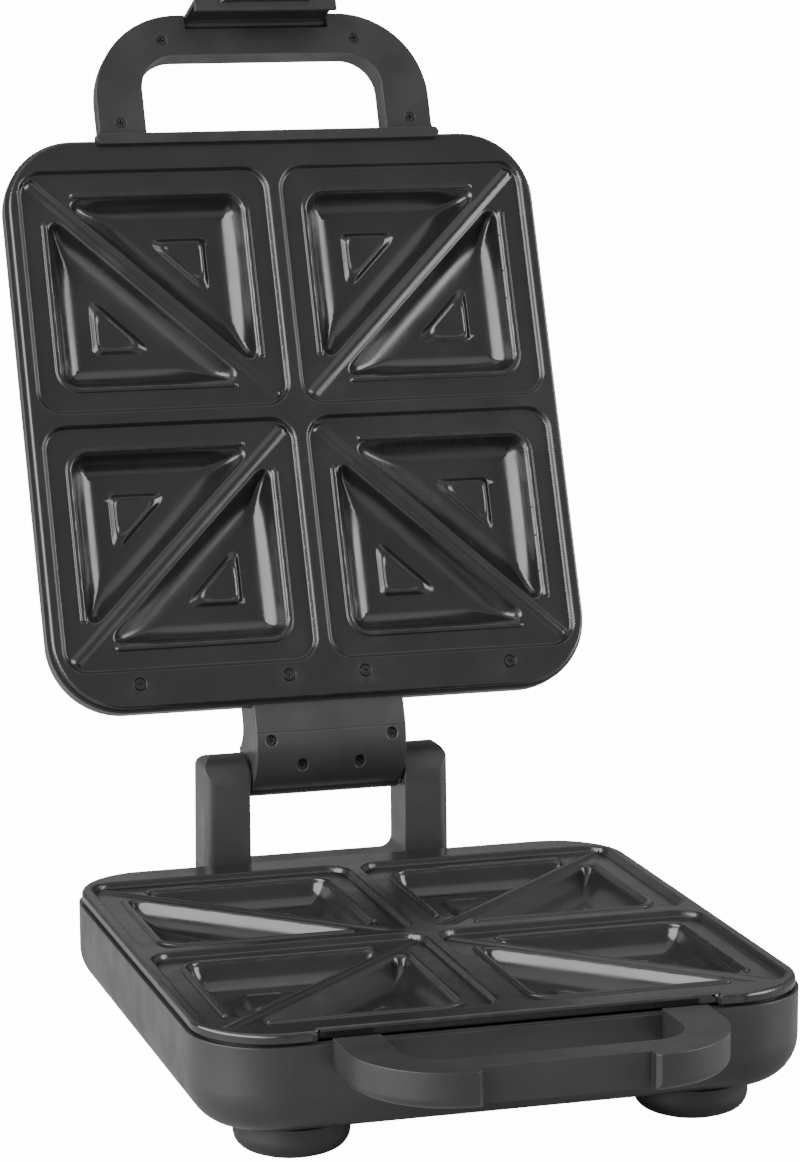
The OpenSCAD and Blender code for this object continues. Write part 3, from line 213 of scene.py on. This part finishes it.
def wallProfile(t):
    # share of the depth reached at share t of the run: a short straight wall, then an arc to the floor
    run, deep = plate["wallRun"], plate["wellDepth"] - plate["ledgeDepth"]
    angle = math.radians(plate["wallAngle"])
    slope, across, down = math.tan(angle), math.sin(angle), 1 - math.cos(angle)
    r = (slope * run - deep) / (slope * across - down)
    arc = 1 - r / deep * (1 - np.sqrt(np.maximum(1 - ((1 - t) * run / r) ** 2, 0)))
    return np.where((1 - t) * run > r * across, slope * run * t / deep, arc)


def plateEdge(x, y, notched):
    # distance outside the plate's outline
    edge = roundBox(x, y - plateCy, halfW, halfD, plate["cornerR"])
    if notched:
        a, b = np.abs(x) - plate["notch"][0], y - plateFront - plate["notch"][1]
        beside = np.minimum(np.maximum(a, b), 0) + np.hypot(np.maximum(a, 0), np.maximum(b, 0))
        edge = np.maximum(edge, -beside)
    return edge


def plateHeight(x, y, dishes=(), notched=False):
    X, Y, side, px, py = halfPocket(x, y)
    pocket = roundBox(px, py, pocketW / 2, pocketD / 2, plate["pocketR"])
    z = -plate["ledgeDepth"] * softStep((0.5 - pocket) / 2.4)

    outer = roundCorner(X - wellX, -Y - wellY, plate["wellR"]) / plate["wallRun"]
    inner = (plate["dividerHalf"] - side) / plate["innerRun"]
    u = softMax(outer, inner, 0.25)
    for tip, into in wellTips():
        cut = plate["tipCut"] * 0.92 - (X - tip[0]) * into[0] - (Y - tip[1]) * into[1]
        u = softMax(u, cut / plate["wallRun"], 0.4)
    t = np.clip(softMax(-u, 0, 0.07), 0, 1)
    z -= (plate["wellDepth"] - plate["ledgeDepth"]) * wallProfile(t)

    # bead beside the two outer sides of a well
    beadX = pocketW / 2 - plate["beadIn"] - plate["beadW"] / 2
    beadY = pocketD / 2 - plate["beadIn"] - plate["beadW"] / 2
    line = np.abs(roundCorner(X - beadX, -Y - beadY, plate["wellR"] + 2.5))
    past = np.maximum(-X - plate["beadEnd"] * beadX, Y - plate["beadEnd"] * beadY)
    bead = np.hypot(line, np.maximum(past, 0)) / (plate["beadW"] / 2)
    z += plate["beadH"] * softStep((1.15 - bead) / 0.75)

    # divider along the pocket's diagonal
    rise = plate["ledgeDepth"] - plate["dividerDrop"]
    flank = plate["dividerHalf"] - 0.9
    slope = np.clip((flank - side) / (flank - plate["dividerTop"]), 0, 1)
    slope = 0.55 * slope + 0.45 * softStep(slope)
    z += rise * slope * softStep((-pocket - 1.6) / 1.8)

    # raised triangle on the well's floor, with a slightly higher rim
    cornerX = wellX - plate["islandIn"]
    cornerY = plate["islandIn"] - wellY
    a, b = X - cornerX, cornerY - Y
    c = (-a - b - plate["islandLeg"]) / math.sqrt(2)
    isle = softMax(softMax(a, b, 3.5), c, 6.5)
    z += 0.75 * plate["islandH"] * softStep((0.9 - isle) / 1.8)
    z += 0.5 * plate["islandH"] * softStep(1 - np.abs(isle + 1.7) / 1.3)

    # rolled outer edge, and the dishes round the screws
    edge = plateEdge(x, y, notched)
    roll = np.clip((edge + plate["edgeR"]) / plate["edgeR"], 0, 1)
    z -= plate["edgeR"] * (1 - np.sqrt(np.maximum(1 - roll ** 2, 0)))
    for dishX, dishY in dishes:
        away = np.hypot(x - dishX, y - dishY)
        z -= plate["screwSink"] * softStep((plate["screwDish"] + 0.25 - away) / 0.5)
    return z


def roundBoxLine(halfX, halfY, r, step):
    points = []
    corners = [(1, -1, -90), (1, 1, 0), (-1, 1, 90), (-1, -1, 180)]
    for sx, sy, start in corners:
        for a in np.linspace(start, start + 90, max(4, int(math.pi / 2 * max(r, 1) / step)) + 1):
            points.append((sx * (halfX - r) + r * math.cos(math.radians(a)),
                           sy * (halfY - r) + r * math.sin(math.radians(a))))
    return spaced(points + points[:1], step)


def spaced(points, step):
    # the same line with points about one step apart
    points = np.array(points, float)
    run = np.concatenate([[0], np.cumsum(np.linalg.norm(np.diff(points, axis=0), axis=1))])
    n = max(2, int(round(run[-1] / step)) + 1)
    t = np.linspace(0, run[-1], n)
    return np.column_stack([np.interp(t, run, points[:, k]) for k in (0, 1)])


def triangleLine(inset, step):
    # a row of points inside a well's outline
    b = plate["dividerHalf"] + inset * plate["innerRun"] / plate["wallRun"]
    x, y = wellX - inset, wellY - inset
    r = max(plate["wellR"] - inset, 0.4)
    s = b * diagonal
    tip = max(plate["tipCut"] * (1 - 0.35 * inset / plate["wallRun"]), 1.5)
    front = np.array([(s - y * pocketW) / pocketD, -y])
    rear = np.array([x, (x * pocketD - s) / pocketW])
    line = [front + along * tip, front + (tip, 0)]
    line += [np.array([x - r + r * math.cos(a), -y + r + r * math.sin(a)])
             for a in np.linspace(-math.pi / 2, 0, 7)]
    line += [rear - (0, tip), rear - along * tip, front + along * tip]
    return spaced(line, step)


def pocketPoints():
    # one pocket, measured from its middle
    rows = []
    for d in (1.9, 1.2, 0.5, 0.0, -0.6, -1.2, -1.9, -2.7):
        rows.append(roundBoxLine(pocketW / 2 + d, pocketD / 2 + d, plate["pocketR"] + d, 1.5))
    half = []
    for inset in (-1.4, -0.8, -0.3, 0.1, 0.5, 0.9, 1.4, 2.1, 3, 4, 5.2, 6.5, 8, 9.5, 11, 12.2, 13.2):
        half.append(triangleLine(inset, 1.3))
    beadX = pocketW / 2 - plate["beadIn"] - plate["beadW"] / 2
    beadY = pocketD / 2 - plate["beadIn"] - plate["beadW"] / 2
    for d in (-1.9, -1.2, -0.6, 0, 0.6, 1.2, 1.9):
        r = plate["wellR"] + 2.5 + d
        line = [(-plate["beadEnd"] * beadX - 2, -beadY - d)]
        line += [(beadX - r + d + r * math.cos(a), -beadY + r - d + r * math.sin(a))
                 for a in np.linspace(-math.pi / 2, 0, 9)]
        line += [(beadX + d, plate["beadEnd"] * beadY + 2)]
        half.append(spaced(line, 1.2))
    cornerX = wellX - plate["islandIn"]
    cornerY = plate["islandIn"] - wellY
    leg = plate["islandLeg"]
    for d in (-4.5, -3, -2.3, -1.7, -1, -0.4, 0.3, 0.9):
        k, m = 3 + d * 0.4, leg + d * 1.4
        shape = [(-k, -d), (d - 0.6 * k, -d + 0.25 * k), (d - 0.25 * k, -d + 0.6 * k), (d, k),
                 (d, m - 1.6 * k), (d - 0.4 * k, m - 0.9 * k), (-k, m - k - 0.2 * k),
                 (-m + k + 0.2 * k, k), (-m + 0.9 * k, 0.4 * k - d), (-m + 1.6 * k, -d), (-k, -d)]
        half.append(spaced([(cornerX + a, cornerY + b) for a, b in shape], 1.1))
    reach = diagonal / 2 - 4
    for d in (0, 0.7, 1.3, 1.9, 2.5, 3.1, 3.6, 4.4):
        for sign in ((1,) if d == 0 else (1, -1)):
            offset = np.array([along[1], -along[0]]) * d * sign
            rows.append(spaced([-along * reach + offset, along * reach + offset], 1.4))
    for line in half:
        rows += [line, -line]
    fill = np.stack(np.meshgrid(np.arange(-pocketW / 2 - 3, pocketW / 2 + 3.1, 3.6),
                                np.arange(-pocketD / 2 - 3, pocketD / 2 + 3.1, 3.6)), -1)
    rows.append(fill.reshape(-1, 2))
    return np.concatenate(rows)


def thinned(points, least):
    # drops a point that has an earlier one nearer than least
    taken, kept = {}, []
    for p in points:
        key = (int(p[0] // least), int(p[1] // least))
        near = (q for i in (-1, 0, 1) for j in (-1, 0, 1) for q in taken.get((key[0] + i, key[1] + j), ()))
        if all((q[0] - p[0]) ** 2 + (q[1] - p[1]) ** 2 >= least * least for q in near):
            taken.setdefault(key, []).append(p)
            kept.append(p)
    return np.array(kept)


def outline(inset, step, notched):
    # the plate's own outline moved in, from the front's middle round to the right
    line = roundBoxLine(halfW - inset, halfD - inset, plate["cornerR"] - inset, step) + (0, plateCy)
    if notched:
        halfNotch, depth = plate["notch"][0] + inset, plateFront + plate["notch"][1] + inset
        away = np.abs(line[:, 0]) - halfNotch
        line = line[~((away < 0.3) & (line[:, 1] < depth))]
        start = int(np.argmax(np.linalg.norm(np.diff(line, axis=0, append=line[:1]), axis=1))) + 1
        line = np.roll(line, -start, axis=0)
        side = spaced([(halfNotch, plateFront + inset), (halfNotch, depth)], step / 2)
        across = spaced([(-halfNotch, depth), (halfNotch, depth)], step)
        line = np.concatenate([line, side * (-1, 1), across[1:-1], side[::-1]])
    return line


def platePoints(dishes, notched):
    # rows beside every edge, and a coarse fill between them
    one = pocketPoints()
    points = [np.array([[sx * (pocketX + x), sy * (pocketY + y)] for x, y in one])
              for sx in (1, -1) for sy in (1, -1)]
    edges = [outline(d, 2.2, notched) for d in (0, 0.12, 0.4, 0.8, 1.2, plate["edgeR"], 2.4)]
    rings = [np.array([(cx + r * math.cos(a), cy + r * math.sin(a))
                       for a in np.linspace(0, 2 * math.pi, 33)[:-1]])
             for cx, cy in dishes for r in (plate["screwDish"] + d for d in (-0.4, -0.2, 0, 0.2, 0.4))]
    fill = np.stack(np.meshgrid(np.arange(-halfW, halfW, 6), np.arange(plateFront, plateRear, 6)), -1)
    points = np.concatenate(edges + rings + points + [fill.reshape(-1, 2)])
    inside = plateEdge(points[:, 0], points[:, 1], notched) < 0.02
    return thinned(points[inside], 0.3)


def skirtRings(notched):
    # rows of points down the folded edge, each with its way out
    line = outline(0, 2.2, notched)
    step = np.roll(line, -1, axis=0) - np.roll(line, 1, axis=0)
    out = np.column_stack([step[:, 1], -step[:, 0]]) / np.linalg.norm(step, axis=1)[:, None]
    edgeR, low, thick = plate["edgeR"], plate["skirtH"], plate["skirtT"]
    rings = [(0, -edgeR, 1, 0), (0, 0.5 - low, 1, 0), (0.15, 0.15 - low, 0.7, -0.7), (0.5, -low, 0, -1),
             (thick, -low, 0, -1), (thick, -edgeR, -1, 0)]
    places = [np.column_stack([line - out * inset, np.full(len(line), z)]) for inset, z, _, _ in rings]
    normals = [np.column_stack([out * side, np.full(len(line), down)]) for _, _, side, down in rings]
    n = len(line)
    faces = [(k * n + i, (k + 1) * n + i, (k + 1) * n + (i + 1) % n, k * n + (i + 1) % n)
             for k in range(len(rings) - 1) for i in range(n)]
    return np.concatenate(places), np.concatenate(normals), faces


def gradientNormals(x, y, height):
    e = 0.06
    dx = (height(x + e, y) - height(x - e, y)) / (2 * e)
    dy = (height(x, y + e) - height(x, y - e)) / (2 * e)
    n = np.column_stack([-dx, -dy, np.ones_like(dx)])
    return n / np.linalg.norm(n, axis=1)[:, None]


def castPlate(name, node, body, place, dishes, notched, material, flipped):
    points = platePoints(dishes, notched)
    verts, _, faces, *_ = delaunay_2d_cdt([Vector(p) for p in points], [], [], 0, 1e-5)
    xy = np.array([tuple(v) for v in verts])
    middles = xy[np.array([f[:3] for f in faces])].mean(axis=1)
    within = plateEdge(middles[:, 0], middles[:, 1], notched) < 0.01
    faces = [f for f, keep in zip(faces, within) if keep]
    height = lambda x, y: plateHeight(x, y, dishes, notched)
    sheet = np.column_stack([xy, height(xy[:, 0], xy[:, 1])])
    normals = gradientNormals(xy[:, 0], xy[:, 1], height)
    skirt, skirtNormals, skirtFaces = skirtRings(notched)
    faces += [tuple(len(sheet) + i for i in f) for f in skirtFaces]
    mesh = bpy.data.meshes.new(name)
    faces = [tuple(reversed(f)) if flipped else tuple(f) for f in faces]
    mesh.from_pydata([place @ Vector(p) for p in np.concatenate([sheet, skirt])], [], faces)
    mesh.shade_smooth()
    turn = place.to_3x3().normalized()
    mesh.normals_split_custom_set_from_vertices(
        [(turn @ Vector(n)).normalized() for n in np.concatenate([normals, skirtNormals])])
    mesh.materials.append(material)
    piece = bpy.data.objects.new(name, mesh)
    bpy.context.scene.collection.objects.link(piece)
    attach(piece, body)
    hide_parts(node)
    print(name, "made with", len(mesh.polygons), "faces")
    return piece


def newMaterial(name, **sockets):
    material = bpy.data.materials.new(name)
    material.use_nodes = True
    tree = material.node_tree
    shader = tree.nodes["Principled BSDF"]
    for socket, value in sockets.items():
        shader.inputs[socket.replace("_", " ")].default_value = value
    return material, tree, shader


def noiseAt(tree, scale, detail=3, stretch=(1, 1, 1)):
    coordinates = tree.nodes.new("ShaderNodeTexCoord")
    mapping = tree.nodes.new("ShaderNodeMapping")
    mapping.inputs["Scale"].default_value = stretch
    noise = tree.nodes.new("ShaderNodeTexNoise")
    noise.inputs["Scale"].default_value = scale
    noise.inputs["Detail"].default_value = detail
    tree.links.new(coordinates.outputs["Object"], mapping.inputs["Vector"])
    tree.links.new(mapping.outputs["Vector"], noise.inputs["Vector"])
    return noise.outputs["Fac"]


def ranged(tree, value, low, high, fromLow=0.35, fromHigh=0.65):
    span = tree.nodes.new("ShaderNodeMapRange")
    for socket, number in (("From Min", fromLow), ("From Max", fromHigh),
                           ("To Min", low), ("To Max", high)):
        span.inputs[socket].default_value = number
    tree.links.new(value, span.inputs["Value"])
    return span.outputs["Result"]


def worked(tree, operation, first, second):
    math_ = tree.nodes.new("ShaderNodeMath")
    math_.operation = operation
    math_.use_clamp = True
    tree.links.new(first, math_.inputs[0])
    tree.links.new(second, math_.inputs[1])
    return math_.outputs["Value"]


def mixedColor(tree, factor, first, second):
    mix = tree.nodes.new("ShaderNodeMix")
    mix.data_type = "RGBA"
    for socket, color in (("A", first), ("B", second)):
        if isinstance(color, tuple):
            mix.inputs[socket].default_value = (*color, 1)
        else:
            tree.links.new(color, mix.inputs[socket])
    tree.links.new(factor, mix.inputs["Factor"])
    return mix.outputs["Result"]


def softEdge(tree, radius):
    # rounded shading along sharp edges, and a mask of those edges
    bevel = tree.nodes.new("ShaderNodeBevel")
    bevel.samples = 6
    bevel.inputs["Radius"].default_value = radius
    geometry = tree.nodes.new("ShaderNodeNewGeometry")
    dot = tree.nodes.new("ShaderNodeVectorMath")
    dot.operation = "DOT_PRODUCT"
    tree.links.new(bevel.outputs["Normal"], dot.inputs[0])
    tree.links.new(geometry.outputs["Normal"], dot.inputs[1])
    return bevel.outputs["Normal"], ranged(tree, dot.outputs["Value"], 0, 1, 0.995, 0.86)


def bumped(tree, shader, height, strength, distance, normal=None):
    node = tree.nodes.new("ShaderNodeBump")
    node.inputs["Strength"].default_value = strength
    node.inputs["Distance"].default_value = distance
    tree.links.new(height, node.inputs["Height"])
    if normal is not None:
        tree.links.new(normal, node.inputs["Normal"])
    tree.links.new(node.outputs["Normal"], shader.inputs["Normal"])


def surface(name, look, **sockets):
    # moulded plastic, rubber or metal: clouded colour, worn edges, smudges and a fine grain
    material, tree, shader = newMaterial(name, **sockets)
    normal, edge = softEdge(tree, look["edgeR"])
    cloudy = ranged(tree, noiseAt(tree, look.get("cloud", 26), 4, look.get("stretch", (1, 1, 1))), 0, 1)
    clouded = tuple(c * look.get("spread", 1.3) for c in look["color"])
    base = mixedColor(tree, cloudy, look["color"], clouded)
    rubbed = worked(tree, "MULTIPLY", edge, ranged(tree, noiseAt(tree, 70, 4), 0.25, 1))
    base = mixedColor(tree, rubbed, base, tuple(c * look.get("wear", 2.4) for c in look["color"]))
    tree.links.new(base, shader.inputs["Base Color"])
    rough = look["roughness"]
    smudge = noiseAt(tree, look.get("smudge", 45), 5, look.get("stretch", (1, 1, 1)))
    tree.links.new(ranged(tree, smudge, rough - 0.06, rough + 0.07), shader.inputs["Roughness"])
    bumped(tree, shader, noiseAt(tree, look.get("grain", 1500), 2, look.get("stretch", (1, 1, 1))),
           look.get("grainDepth", 0.1), 0.0001, normal)
    return material


plasticLook = {"color": (0.018, 0.018, 0.019), "roughness": 0.36, "edgeR": 0.0007, "grainDepth": 0.09}
handleLook = {"color": (0.014, 0.014, 0.015), "roughness": 0.4, "edgeR": 0.0007, "grainDepth": 0.12}
hingeLook = {"color": (0.027, 0.027, 0.028), "roughness": 0.38, "edgeR": 0.001, "grainDepth": 0.1}
rubberLook = {"color": (0.011, 0.011, 0.012), "roughness": 0.6, "edgeR": 0.0008, "grainDepth": 0.2}
padLook = {"color": (0.02, 0.02, 0.02), "roughness": 0.75, "edgeR": 0.0003, "grainDepth": 0.3}
screwLook = {"color": (0.05, 0.05, 0.052), "roughness": 0.36, "edgeR": 0.00015, "wear": 3.0, "smudge": 260}
tubeLook = {"color": (0.26, 0.24, 0.22), "roughness": 0.42, "edgeR": 0.0003, "cloud": 60}
sheetLook = {"color": (0.62, 0.63, 0.64), "roughness": 0.3, "edgeR": 0.0003, "spread": 1.15, "wear": 1.3,
             "stretch": (1, 14, 1), "grain": 500}
ivoryLook = {"color": (0.66, 0.62, 0.5), "roughness": 0.45, "edgeR": 0.0004, "spread": 1.1, "wear": 1.2}
sleeveLook = {"color": (0.36, 0.03, 0.02), "roughness": 0.55, "edgeR": 0.0003, "wear": 1.5}
redLook = {"color": (0.5, 0.015, 0.01), "roughness": 0.16, "edgeR": 0.0004, "wear": 1.4,
           "grainDepth": 0.02}
greenLook = {"color": (0.02, 0.32, 0.05), "roughness": 0.16, "edgeR": 0.0004, "wear": 1.4,
             "grainDepth": 0.02}
bulbLook = {"color": (0.8, 0.72, 0.5), "roughness": 0.14, "edgeR": 0.0004, "spread": 1.1, "wear": 1.1,
            "grainDepth": 0.02}

coating = {
    "color": (0.0095, 0.0095, 0.01),
    "clouded": (0.012, 0.0118, 0.0116),
    "rubbed": (0.035, 0.035, 0.036),
    "roughness": (0.18, 0.26),
    "smudged": 0.1,
    "peel": (420, 0.035),
}


def coatedMetal(name):
    # glossy non-stick coat over a casting: soft ripple, faint clouds, rubbed high edges
    material, tree, shader = newMaterial(name, Specular_IOR_Level=0.62)
    cloudy = ranged(tree, noiseAt(tree, 32, 5), 0, 1)
    base = mixedColor(tree, cloudy, coating["color"], coating["clouded"])
    geometry = tree.nodes.new("ShaderNodeNewGeometry")
    high = ranged(tree, geometry.outputs["Pointiness"], 0, 0.8, 0.52, 0.6)
    rubbed = worked(tree, "MULTIPLY", high, ranged(tree, noiseAt(tree, 110, 4), 0, 1))
    tree.links.new(mixedColor(tree, rubbed, base, coating["rubbed"]), shader.inputs["Base Color"])
    sheen = ranged(tree, noiseAt(tree, 55, 5), *coating["roughness"])
    wiped = ranged(tree, noiseAt(tree, 9, 6, (1, 3, 1)), 0, coating["smudged"], 0.55, 0.8)
    tree.links.new(worked(tree, "ADD", sheen, wiped), shader.inputs["Roughness"])
    bumped(tree, shader, noiseAt(tree, coating["peel"][0], 2), coating["peel"][1], 0.0002)
    return material


finishes = {
    "charcoal_plastic": surface("charcoalPlastic", plasticLook),
    "coated_plate": coatedMetal("coatedPlate"),
    "screw_steel": surface("screwSteel", screwLook, Metallic=1.0),
    "heater_tube": surface("heaterTube", tubeLook, Metallic=1.0),
    "bright_sheet": surface("brightSheet", sheetLook, Metallic=1.0),
    "ivory_plastic": surface("ivoryPlastic", ivoryLook),
    "wire_sleeve": surface("wireSleeve", sleeveLook),
    "soft_pad": surface("softPad", padLook),
    "red_lens": surface("redLens", redLook, Coat_Weight=0.6),
    "green_lens": surface("greenLens", greenLook, Coat_Weight=0.6),
    "bulb_glass": surface("bulbGlass", bulbLook, Coat_Weight=0.8),
}
handlePlastic = surface("handlePlastic", handleLook)
hingePlastic = surface("hingePlastic", hingeLook)
footRubber = surface("footRubber", rubberLook)

for name, node in nodes.items():
    for materialSlot in node.material_slots:
        finish = finishes[materialSlot.material.name]
        if name.endswith("_foot"):
            finish = footRubber
        elif name in ("hinge_block", "hinge_rear_cover", "hinge_tongue", "hinge_tongue_cover"):
            finish = hingePlastic
        elif name.startswith(("base_handle", "lid_handle", "latch_clip")) and not name.endswith("screws"):
            finish = handlePlastic
        materialSlot.material = finish
print("finishes given")

fromSide, fromMiddle, fromRear = plate["screwsIn"]
lidScrews = [(s * x, plateRear - fromRear) for x in (halfW - fromSide, fromMiddle) for s in (-1, 1)]
coated = finishes["coated_plate"]
castPlate("lowerPlateCoated", "lower_plate", "base", baseFrame, (), True, coated, False)
castPlate("upperPlateCoated", "upper_plate", "lid", underLid, lidScrews, False, coated, True)


paper = {"color": (0.42, 0.42, 0.42), "clouded": (0.46, 0.46, 0.46), "glow": 14.0}
light = {
    "target": (0, 0, 0.22),
    "world": 0.47,
    "left": ((-1.75, -0.5, 0.7), (2.4, 2.2), 140),
    "right": ((1.8, -0.75, 0.7), (1.1, 1.6), 44),
    "top": ((0, 0.3, 2.2), (2.6, 2.2), 14),
}


def seenDirectly(tree, otherwise, value):
    # one value for what the viewer sees of the studio itself, another for its light on the object
    path = tree.nodes.new("ShaderNodeLightPath")
    return ranged(tree, path.outputs["Is Camera Ray"], otherwise, value, 0, 1)


def addFloor():
    mesh = bpy.data.meshes.new("studioFloor")
    rise, back, reach = 4.0, 3.5, 5.0
    profile = [(-reach, 0), (back - 1, 0)]
    profile += [(back - 1 + math.sin(a), 1 - math.cos(a)) for a in np.linspace(0.1, math.pi / 2, 12)]
    profile += [(back, rise)]
    verts = [(x, y, z) for y, z in profile for x in (-reach, reach)]
    faces = [(2 * k, 2 * k + 1, 2 * k + 3, 2 * k + 2) for k in range(len(profile) - 1)]
    mesh.from_pydata(verts, [], faces)
    mesh.shade_smooth()
    material, tree, shader = newMaterial("studioPaper", Roughness=0.9)
    cloudy = ranged(tree, noiseAt(tree, 3), 0, 1)
    tree.links.new(mixedColor(tree, cloudy, paper["color"], paper["clouded"]), shader.inputs["Base Color"])
    shader.inputs["Emission Color"].default_value = (1, 1, 1, 1)
    tree.links.new(seenDirectly(tree, 0, paper["glow"]), shader.inputs["Emission Strength"])
    mesh.materials.append(material)
    floor = bpy.data.objects.new("studioFloor", mesh)
    bpy.context.scene.collection.objects.link(floor)
    floor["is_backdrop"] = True


def addLight(name, place, target, size, power):
    data = bpy.data.lights.new(name, "AREA")
    data.shape = "RECTANGLE"
    data.size, data.size_y = size
    data.energy = power
    lamp = bpy.data.objects.new(name, data)
    lamp.location = place
    lamp.rotation_euler = (Vector(target) - Vector(place)).to_track_quat("-Z", "Y").to_euler()
    bpy.context.scene.collection.objects.link(lamp)


def addStudio():
    world = bpy.data.worlds.new("studioWorld")
    world.use_nodes = True
    background = world.node_tree.nodes["Background"]
    background.inputs["Color"].default_value = (1, 1, 1, 1)
    world.node_tree.links.new(seenDirectly(world.node_tree, light["world"], paper["glow"]),
                              background.inputs["Strength"])
    bpy.context.scene.world = world
    for name in ("left", "right", "top"):
        place, size, power = light[name]
        addLight(name + "Softbox", place, light["target"], size, power)
    print("studio lit")


addFloor()
addStudio()

low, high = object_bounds()
